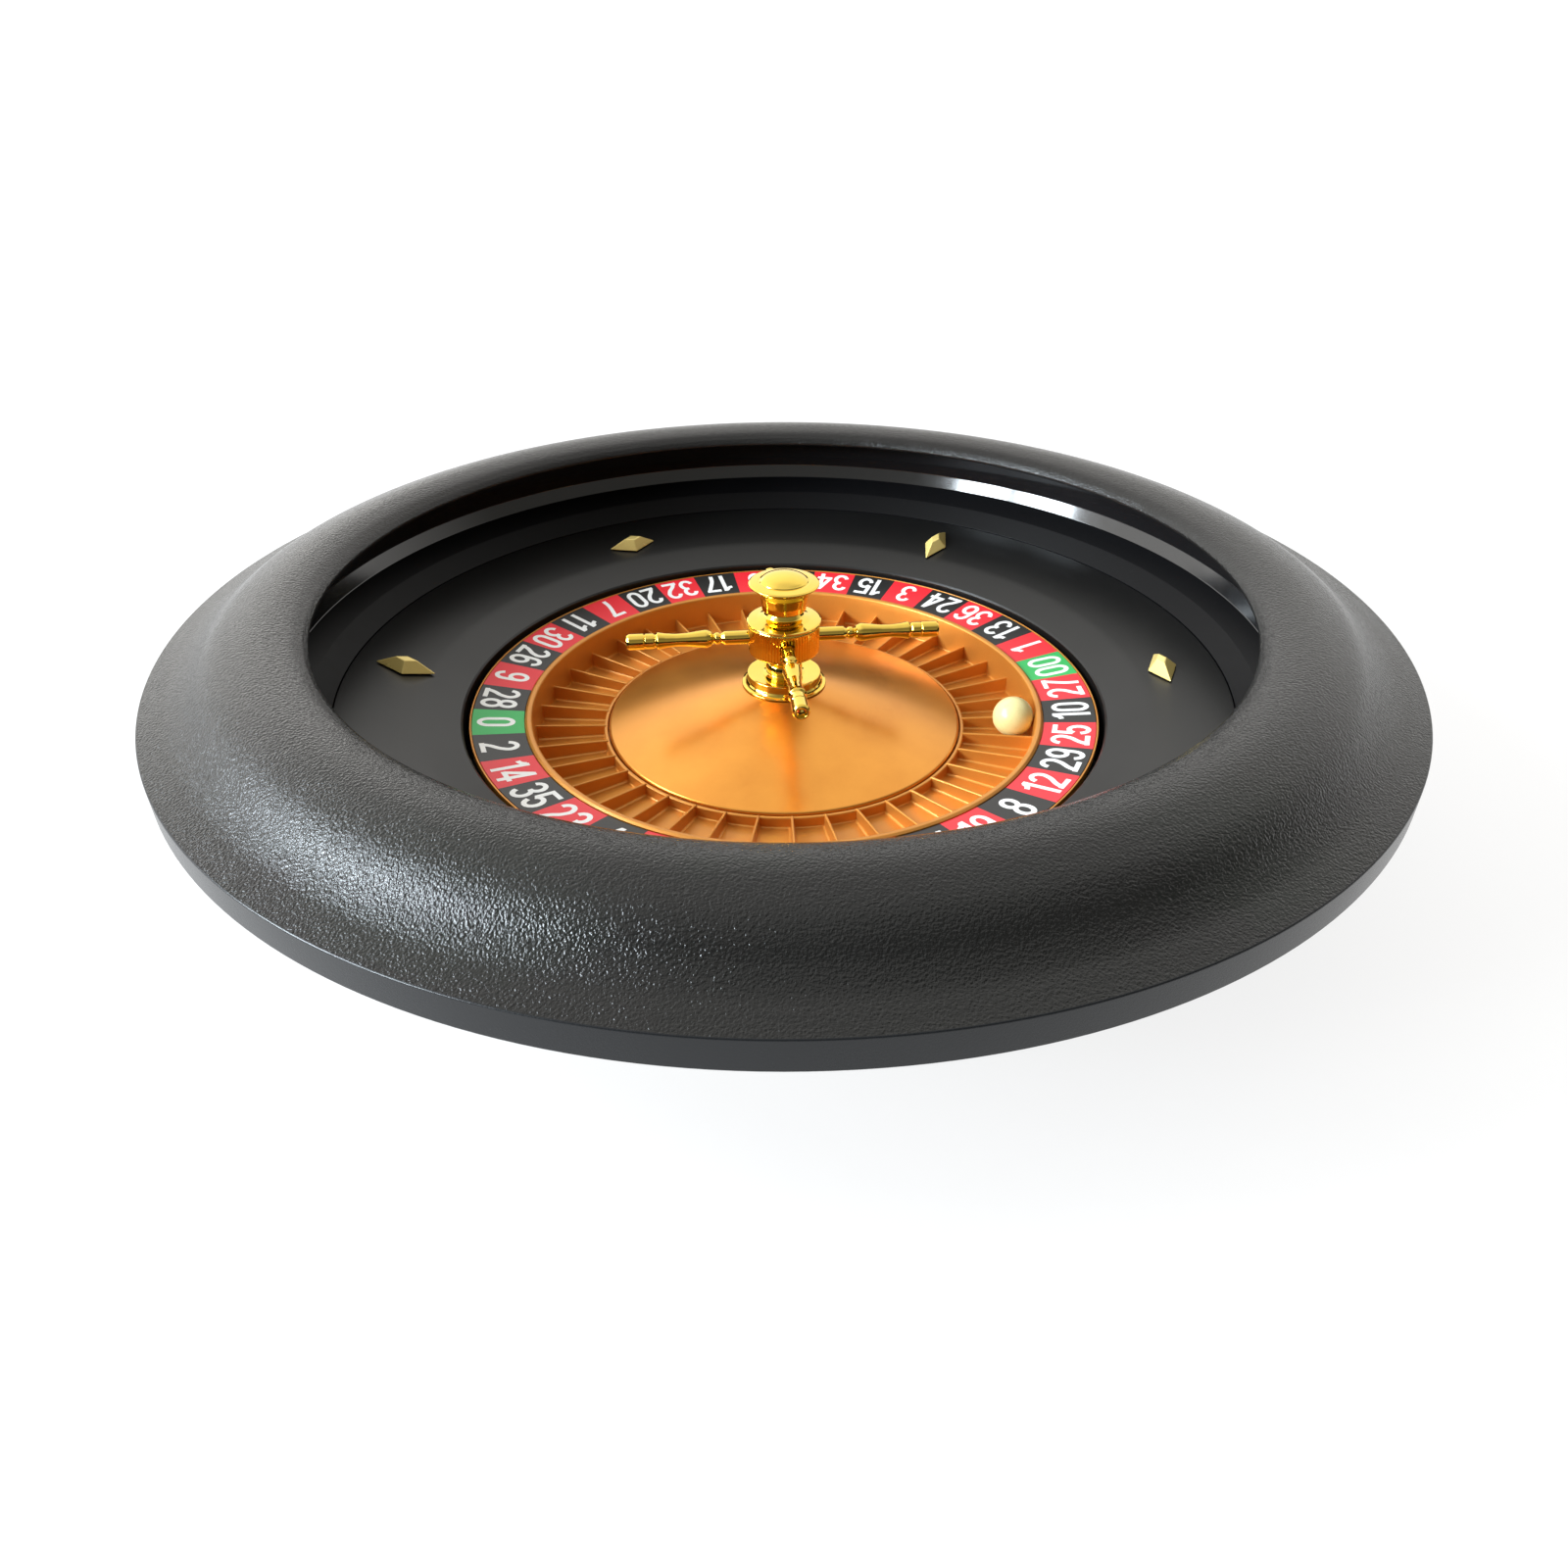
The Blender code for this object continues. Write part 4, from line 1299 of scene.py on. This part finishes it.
    def build(self) -> None:
        """Cut the ten digits once, and lay copies of them beside the pockets."""
        cutters = {digit: self.cut(digit) for digit in "0123456789"}
        laid = []
        slope = Matrix.Rotation(math.atan(self.plate.slope), 4, "Y")
        reading = Matrix.Rotation(math.pi / 2.0, 4, "Z")
        for index, label in enumerate(self.plate.pockets.order):
            total = sum(map(self.width, label)) + self.gap * (len(label) - 1)
            across = -total / 2.0
            seat = turned_to(self.plate.pockets.azimuth(index), self.foot_radius,
                             self.plate.height(self.foot_radius) - self.raised)
            for digit in label:
                middle = across + self.width(digit) / 2.0
                step = Matrix.Translation((middle * MM, 0.0, 0.0))
                laid.append(Bench.copy(cutters[digit], "numeral",
                                       seat @ slope.inverted() @ reading @ step))
                across += self.width(digit) + self.gap
        for cutter in cutters.values():
            bpy.data.objects.remove(cutter, do_unlink=True)
        numerals = Bench.join("numerals", laid)
        Print.of(Ink.WHITE).dress(numerals)
        hand_over(numerals, "rotor", "printed_numbers")


@dataclass
class Rotor:
    """Gold rotor: dish, number plate, frets and cone."""

    pockets: Pockets = field(default_factory=Pockets)
    segments: int = 266
    floor: float = 27.2
    cone_radius: float = 80.4
    cone_slope: float = 0.2745
    seat: float = 49.0
    fret_root: float = 81.8
    fret_tip: float = 112.9
    root_top: float = 32.3
    tip_top: float = 34.3
    fret_half: float = 0.55

    def build(self) -> None:
        """Make every piece of the rotor."""
        self.make_dish()
        NumberPlate(self.pockets).build()
        self.make_frets()
        self.make_cone()

    def make_dish(self) -> None:
        """Dish: outer flange, seat for the numbers, rounded lip, pocket wall and floor."""
        outline = [Corner(140.1, 44.8, 0.3), Corner(139.3, 44.8, 0.2), Corner(139.3, 43.4),
                   Corner(116.6, 40.63), Corner(116.6, 42.2, 0.4), Corner(115.5, 43.0, 0.8),
                   Corner(113.5, 42.8, 1.1), Corner(112.9, 38.0), Corner(112.7, 27.2, 1.0),
                   Corner(20.3, 27.2), Corner(20.3, 19.0, 0.5), Corner(33.5, 19.0, 0.5),
                   Corner(33.5, 24.2, 0.5), Corner(114.2, 24.2, 1.5), Corner(115.9, 26.4, 1.5),
                   Corner(116.4, 37.2, 1.5), Corner(140.1, 40.5, 0.4)]
        dish = Bench.turn("dish", rounded(outline), self.segments)
        POCKET.dress(dish)
        hand_over(dish, "rotor", "satin_gold", "rotor_dish")

    def make_frets(self) -> None:
        """One fret with a rounded top and a spreading foot, copied round a hoop."""
        half, low = self.fret_half, self.floor - 0.2
        side = [Corner(half * 3.2, low), Corner(half * 2.6, self.floor + 0.05, 0.5),
                Corner(half * 1.25, self.floor + 0.5, 0.9), Corner(half, self.root_top, half)]
        mirrored = [Corner(-corner.out, corner.up, corner.rounding) for corner in side[::-1]]
        section = [Vector((self.fret_root * MM, point.x * MM, point.y * MM))
                   for point in rounded(side + mirrored, closed=False, steps=4)]
        fret = Bench.wire("fret", section, True)
        bpy.ops.mesh.edge_face_add()
        outward = {"value": ((self.fret_tip - self.fret_root) * MM, 0.0, 0.0)}
        bpy.ops.mesh.extrude_region_move(TRANSFORM_OT_translate=outward)
        middle = (self.fret_root + self.fret_tip) / 2.0
        Bench.choose(fret, lambda point: point.x > middle and point.z > self.floor + 2.0)
        rise = (self.tip_top - self.root_top) * MM
        bpy.ops.transform.translate(value=(0.0, 0.0, rise))
        Bench.close(fret, 40.0)
        places = [turned_to(self.pockets.azimuth(index + 0.5))
                  for index in range(len(self.pockets.order))]
        frets = Bench.series(fret, "fret", places)
        hoop = [Corner(self.cone_radius + 0.6, self.floor - 0.2),
                Corner(self.cone_radius + 0.6, self.root_top - 0.5, 0.5),
                Corner(self.cone_radius + 2.2, self.root_top - 0.5, 0.7),
                Corner(self.cone_radius + 2.4, self.floor + 0.4, 0.6),
                Corner(self.cone_radius + 3.2, self.floor - 0.2)]
        frets.append(Bench.turn("hoop", rounded(hoop), self.segments))
        ring = Bench.join("pocket_frets", frets)
        POCKET.dress(ring)
        hand_over(ring, "rotor", "satin_gold", "fret_ring")

    def make_cone(self) -> None:
        """Shallow cone over the hub, with a rolled edge and a flat seat for the turret."""
        edge, low = self.cone_radius, self.floor + 0.3
        wall, bore = 2.8, 3.3
        slope_start, slope_low = edge - 1.4, 32.6
        slope_end = slope_start - (self.seat - slope_low) / self.cone_slope
        stay_inner, stay_outer, stay_fall = 36.4, 39.0, 0.4
        stay_middle = (stay_inner + stay_outer) / 2.0
        stay_top = slope_low + (slope_start - stay_middle) * self.cone_slope - wall
        outline = [Corner(edge, low, 0.2), Corner(edge, 32.5, 1.5),
                   Corner(slope_end, self.seat, 3.0), Corner(bore, self.seat),
                   Corner(bore, self.seat - wall), Corner(slope_end, self.seat - wall, 3.0),
                   Corner(stay_inner, stay_top + stay_fall), Corner(stay_inner, low),
                   Corner(stay_outer, low), Corner(stay_outer, stay_top - stay_fall),
                   Corner(edge - wall, 30.0, 0.8), Corner(edge - wall, low)]
        cone = Bench.turn("hub_cone", rounded(outline), self.segments)
        PAINT.dress(cone)
        hand_over(cone, "rotor", "satin_gold", "rotor_cone")


# ---- turret -------------------------------------------------------------------------------------
@dataclass
class Turret:
    """Gold turret on the cone: base, fluted drum with four spokes, flared collar, domed cap."""

    segments: int = 96
    bore: float = 3.3
    drum_radius: float = 15.8
    drum_low: float = 65.5
    drum_top: float = 79.2
    flutes: int = 72
    flute_depth: float = 0.45
    spoke_azimuths: tuple = tuple(evenly(4, 5.7))
    spoke_height: float = 72.4
    spoke_rod: float = 3.1

    def build(self) -> None:
        """Make every piece of the turret."""
        self.make_turned()
        self.make_drum()
        self.make_spokes()

    def make_turned(self) -> None:
        """Base, collar and cap."""
        bore = self.bore
        base = [Corner(bore, 49.3), Corner(19.0, 49.3, 0.2), Corner(19.0, 50.0, 0.3),
                Corner(17.9, 50.35, 0.2), Corner(17.5, 50.3, 0.1), Corner(17.2, 50.9, 0.3),
                Corner(16.6, 51.6, 0.4), Corner(16.6, 54.9, 0.5), Corner(15.9, 55.0, 0.3),
                Corner(9.4, 54.6, 0.8), Corner(7.6, 55.2, 0.5), Corner(8.4, 57.4, 2.2),
                Corner(7.6, 59.9, 1.6), Corner(5.4, 61.0, 0.6), Corner(8.2, 61.8, 0.5),
                Corner(9.0, 62.6, 0.4), Corner(8.7, 63.4, 0.5), Corner(9.2, 65.2),
                Corner(bore, 65.2)]
        collar = [Corner(bore, 79.5), Corner(16.0, 79.5, 0.2), Corner(16.4, 79.9, 0.2),
                  Corner(16.4, 80.4, 0.25), Corner(15.7, 80.8, 0.4), Corner(11.8, 81.4, 4.0),
                  Corner(8.4, 82.5, 2.0), Corner(7.4, 84.3, 1.5), Corner(7.3, 85.3, 0.2),
                  Corner(9.7, 85.6, 0.25), Corner(9.8, 88.2, 6.0), Corner(10.7, 92.4, 4.0),
                  Corner(12.2, 95.2, 0.2), Corner(bore, 95.2)]
        cap = [Corner(0.0, 98.2), Corner(bore, 98.2), Corner(bore, 95.5), Corner(11.1, 95.5, 0.4),
               Corner(13.2, 96.4, 1.2), Corner(15.3, 96.9, 0.3), Corner(15.5, 97.5, 0.3),
               Corner(14.7, 98.0, 0.4), Corner(11.6, 98.5, 0.6), Corner(10.7, 98.5, 0.15),
               Corner(10.5, 98.9, 0.15)]
        cap += corners_of(arc((0.0, 97.5), (10.9, 4.4), 22.0, 90.0, 16))
        for name, corners, node in (("pedestal", base, "turret_base"),
                                    ("flared_collar", collar, "turret_collar")):
            piece = Bench.turn(name, rounded(corners), self.segments)
            PLATE.dress(piece)
            hand_over(piece, "rotor", "bright_gold", node)
        dome = Bench.turn("domed_cap", rounded(cap, closed=False), self.segments, closed=False)
        PLATE.dress(dome)
        hand_over(dome, "rotor", "bright_gold", "turret_cap")

    def make_drum(self) -> None:
        """Drum with upright flutes between two plain bands, a bore and four holes for spokes."""
        Bench.pick()
        radius = self.drum_radius - 0.9
        bpy.ops.mesh.primitive_circle_add(vertices=4 * self.flutes, radius=radius * MM,
                                          fill_type="NGON", location=(0, 0, self.drum_low * MM))
        drum = bpy.context.object
        Bench.name(drum, "fluted_drum")
        Bench.settle(drum)
        band, top = 1.0, self.drum_top - self.drum_low
        stations = ((0.25, 0.6), (0.5, 0.3), (band - 0.75, 0.0), (0.3, 0.0),
                    (top - 2.0 * band - 0.6, 0.0), (0.3, 0.0), (band - 0.5, 0.0), (0.5, -0.3))
        bpy.ops.object.mode_set(mode="EDIT")
        bpy.ops.mesh.select_all(action="SELECT")
        for rise, swell in stations:
            lift = {"value": (0.0, 0.0, rise * MM)}
            bpy.ops.mesh.extrude_region_move(TRANSFORM_OT_translate=lift)
            grow = (radius + swell) / radius
            radius += swell
            bpy.ops.transform.resize(value=(grow, grow, 1.0), center_override=(0.0, 0.0, 0.0))
        flute_low = self.drum_low + band
        flute_top = self.drum_top - band

        def in_groove(point: Vector) -> bool:
            """Whether a point lies along a flute, between the bands.

            Args:
                point: the point, in mm.

            Returns:
                True in a groove.
            """
            turn = math.degrees(math.atan2(point.y, point.x)) % (360.0 / self.flutes)
            share = turn / (360.0 / self.flutes)
            return (share < 0.05 or share > 0.95) and flute_low < point.z < flute_top

        Bench.choose(drum, in_groove)
        inward = (self.drum_radius - self.flute_depth) / self.drum_radius
        bpy.ops.transform.resize(value=(inward, inward, 1.0), center_override=(0.0, 0.0, 0.0))
        Bench.close(drum, 50.0)
        Bench.combine(drum, self._rod(self.bore, self.drum_low - 1.0, self.drum_top + 1.0),
                      "DIFFERENCE")
        for azimuth in self.spoke_azimuths:
            hole = self._rod(self.spoke_rod + 0.3, 8.4, self.drum_radius + 2.0)
            self._lay(hole, azimuth)
            Bench.combine(drum, hole, "DIFFERENCE")
        Bench.close(drum, 50.0)
        PLATE.dress(drum)
        hand_over(drum, "rotor", "bright_gold", "turret_drum")

    @staticmethod
    def _rod(radius: float, low: float, high: float) -> bpy.types.Object:
        """Round cutter along Z.

        Args:
            radius: its radius.
            low: where it begins.
            high: where it ends.

        Returns:
            The cutter.
        """
        Bench.pick()
        bpy.ops.mesh.primitive_cylinder_add(vertices=40, radius=radius * MM,
                                            depth=(high - low) * MM,
                                            location=(0.0, 0.0, (low + high) / 2.0 * MM))
        Bench.settle(bpy.context.object)
        return bpy.context.object

    def _lay(self, piece: bpy.types.Object, azimuth: float) -> None:
        """Lay a piece that stands on the axis out along an azimuth, at the spokes' height.

        Args:
            piece: the piece.
            azimuth: where it points, in degrees.
        """
        lying = turned_to(azimuth, 0.0, self.spoke_height) @ Matrix.Rotation(math.pi / 2, 4, "Y")
        piece.matrix_world = lying @ piece.matrix_world
        Bench.settle(piece)

    def make_spokes(self) -> None:
        """Four turned spokes with beads, a swelling grip and a hollow end."""
        rod = self.spoke_rod
        outline = [Corner(0.0, 9.0), Corner(rod, 9.0, 0.3), Corner(rod, 26.4, 0.8),
                   Corner(2.0, 28.0, 0.4), Corner(2.7, 28.8, 0.4), Corner(2.7, 30.3, 0.5),
                   Corner(1.9, 31.3, 0.3), Corner(3.3, 32.2, 0.9), Corner(4.15, 34.4, 2.6),
                   Corner(3.7, 38.2, 9.0), Corner(3.0, 43.2, 14.0), Corner(2.85, 48.0, 14.0),
                   Corner(3.3, 52.6, 9.0), Corner(3.95, 55.7, 0.5), Corner(2.9, 56.8, 0.3),
                   Corner(3.45, 57.5, 0.3), Corner(3.5, 61.0, 0.2), Corner(3.2, 61.3, 0.12),
                   Corner(3.2, 61.5, 0.12), Corner(3.6, 61.9, 0.25), Corner(3.6, 68.3, 0.7),
                   Corner(3.0, 69.3, 0.3), Corner(2.2, 69.3, 0.15), Corner(2.1, 66.8, 0.3),
                   Corner(0.0, 66.6)]
        spoke = Bench.turn("spoke_pattern", rounded(outline, closed=False, steps=6), 48,
                           closed=False)
        PLATE.dress(spoke)
        lying = Matrix.Rotation(math.pi / 2.0, 4, "Y")
        places = [turned_to(azimuth, 0.0, self.spoke_height) @ lying
                  for azimuth in self.spoke_azimuths]
        for index, made in enumerate(Bench.series(spoke, "spoke", places), 1):
            hand_over(made, "rotor", "bright_gold", f"handle_{index}")


@dataclass
class Ball:
    """Resin ball at rest in a pocket, with the faint line where its mould parted."""

    radius: float = 9.0
    tilt: float = 38.0
    line_half: float = 0.18
    line_height: float = 0.02

    def build(self) -> None:
        """Make the ball where its plain node is."""
        low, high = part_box("ball")
        outline = arc((0.0, 0.0), (self.radius, self.radius), -90.0, 90.0, 72)
        middle = len(outline) // 2
        edge = self.radius + self.line_height
        band = [(edge - 0.01, -self.line_half), (edge, 0.0), (edge - 0.01, self.line_half)]
        outline = outline[:middle] + band + outline[middle + 1:]
        outline[0], outline[-1] = (0.0, -self.radius), (0.0, self.radius)
        ball = Bench.turn("resin_ball", [Vector(point) for point in outline], 96, closed=False)
        ball.matrix_world = (Matrix.Translation((low + high) / 2.0)
                             @ Matrix.Rotation(math.radians(self.tilt), 4, "X"))
        Bench.settle(ball)
        CREAM.dress(ball)
        hand_over(ball, "ball", "cream", "ball")


@dataclass
class Works:
    """Pieces inside the wheel that keep the shape of their nodes and get a better finish."""

    plastic: tuple = ("hub_housing",)
    zinc: tuple = ("spindle_washer", "spindle_nut", "turret_nut", "hub_screw_1", "hub_screw_2",
                   "hub_screw_3", "hub_screw_4")
    steel: tuple = ("spindle", "spindle_retaining_ring", "bearing_spacer", "lower_inner_race",
                    "upper_inner_race", "lower_outer_race", "upper_outer_race", "turret_rod",
                    "lower_ball_cage", "upper_ball_cage")

    def build(self) -> None:
        """Dress each node that shows as it is."""
        for finish, names in ((PAN, self.plastic), (ZINC, self.zinc), (STEEL, self.steel)):
            finish.dress(*(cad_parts[name] for name in names))
            log.info("%s on %s", finish.name, ", ".join(names))


# ---- studio -------------------------------------------------------------------------------------
@dataclass
class Window:
    """A soft light: where it hangs from the wheel's middle, its size, and how bright it looks."""

    name: str
    toward: tuple[float, float, float]
    distance: float
    size: tuple[float, float]
    brightness: float
    colour: Colour = (1.0, 1.0, 1.0)

    def hang(self, middle: Vector) -> None:
        """Hang the light, facing the wheel's middle.

        Args:
            middle: the wheel's middle, in metres.
        """
        Bench.pick()
        outward = Vector(self.toward).normalized()
        bpy.ops.object.light_add(type="AREA", location=middle + outward * self.distance)
        lamp = bpy.context.object
        lamp.name = self.name
        lamp.rotation_euler = outward.to_track_quat("Z", "Y").to_euler()
        lamp.data.shape = "RECTANGLE"
        lamp.data.size, lamp.data.size_y = self.size
        lamp.data.energy = self.brightness * math.pi * self.size[0] * self.size[1]
        lamp.data.color = self.colour


@dataclass
class Studio:
    """White floor, soft lights and the camera."""

    eye: tuple[float, float, float] = (0.0, -0.4426, 0.2884)
    tilt: float = 56.3
    lens: float = 25.28
    floor_half: float = 60.0
    sky: float = 1.3
    dimmer_right: float = 0.34
    windows: tuple = (
        Window("pane_near", (-0.797, -0.498, 0.342), 2.4, (0.50, 0.50), 58.0, (0.82, 0.92, 1.0)),
        Window("pane_far", (-0.912, -0.227, 0.342), 2.4, (0.58, 0.50), 52.0, (0.82, 0.92, 1.0)),
        Window("window_high", (-0.805, -0.085, 0.588), 2.2, (0.74, 0.58), 21.0, (0.80, 0.91, 1.0)),
        Window("wall_behind", (-0.60, 0.77, 0.20), 3.0, (1.7, 0.9), 0.8, (1.0, 0.98, 0.95)),
    )

    def build(self) -> None:
        """Set up the floor, the lights, the sky and the camera."""
        self.lay_floor()
        low, high = cad_box
        for window in self.windows:
            window.hang((low + high) / 2.0)
        self.light_sky()
        self.set_camera()

    def lay_floor(self) -> None:
        """Broad white floor."""
        Bench.pick()
        bpy.ops.mesh.primitive_plane_add(size=2.0 * self.floor_half, location=(0.0, 0.0, 0.0))
        floor = bpy.context.object
        Bench.name(floor, "studio_floor")
        StudioPaper("studio_paper").dress(floor)

    def light_sky(self) -> None:
        """Pale room: brightest low down behind the wheel and to its left, dim in front."""
        world = bpy.data.worlds.new("pale_room")
        bpy.context.scene.world = world
        world.use_nodes = True
        graph = ShaderGraph(world.node_tree)
        seat = graph.node("ShaderNodeTexCoord", {}, {})
        parts = graph.node("ShaderNodeSeparateXYZ", {}, {
            0: Signal(graph, seat.outputs["Generated"])})
        height = Signal(graph, parts.outputs["Z"])
        behind = graph.ramp(height, (0.05, (1.0, 0.985, 0.955)), (0.60, (1.0, 0.98, 0.935)),
                            (0.82, (0.90, 0.88, 0.83)), (1.0, (0.64, 0.625, 0.59)))
        before = graph.ramp(height, (0.05, (0.28, 0.273, 0.250)), (0.75, (0.14, 0.137, 0.125)),
                            (1.0, (0.64, 0.625, 0.59)))
        side = Signal(graph, parts.outputs["X"])
        backward, leftward, middle = 1.5, 0.6, 0.75
        facing = Signal(graph, parts.outputs["Y"]) * backward - side * leftward + middle
        background = world.node_tree.nodes["Background"]
        graph.feed(background.inputs["Color"], graph.blend(facing, before, behind))
        graph.feed(background.inputs["Strength"], self.sky - side * self.dimmer_right)

    def set_camera(self) -> None:
        """Camera a little above the rim's near side, looking down into the bowl."""
        Bench.pick()
        bpy.ops.object.camera_add(location=self.eye,
                                  rotation=(math.radians(self.tilt), 0.0, 0.0))
        camera = bpy.context.object
        camera.data.sensor_width = 36.0
        camera.data.lens = self.lens
        camera.data.clip_start = 0.01
        bpy.context.scene.camera = camera
        bpy.context.scene.view_settings.view_transform = "Standard"


def main() -> None:
    """Build the wheel's parts in order, then the studio."""
    logging.basicConfig(level=logging.INFO, format="%(name)s: %(message)s")
    for part in (Bowl(), Studs(), Rotor(), Turret(), Ball(), Works(), Studio()):
        log.info("building %s", type(part).__name__)
        part.build()


if __name__ == "__main__":
    main()
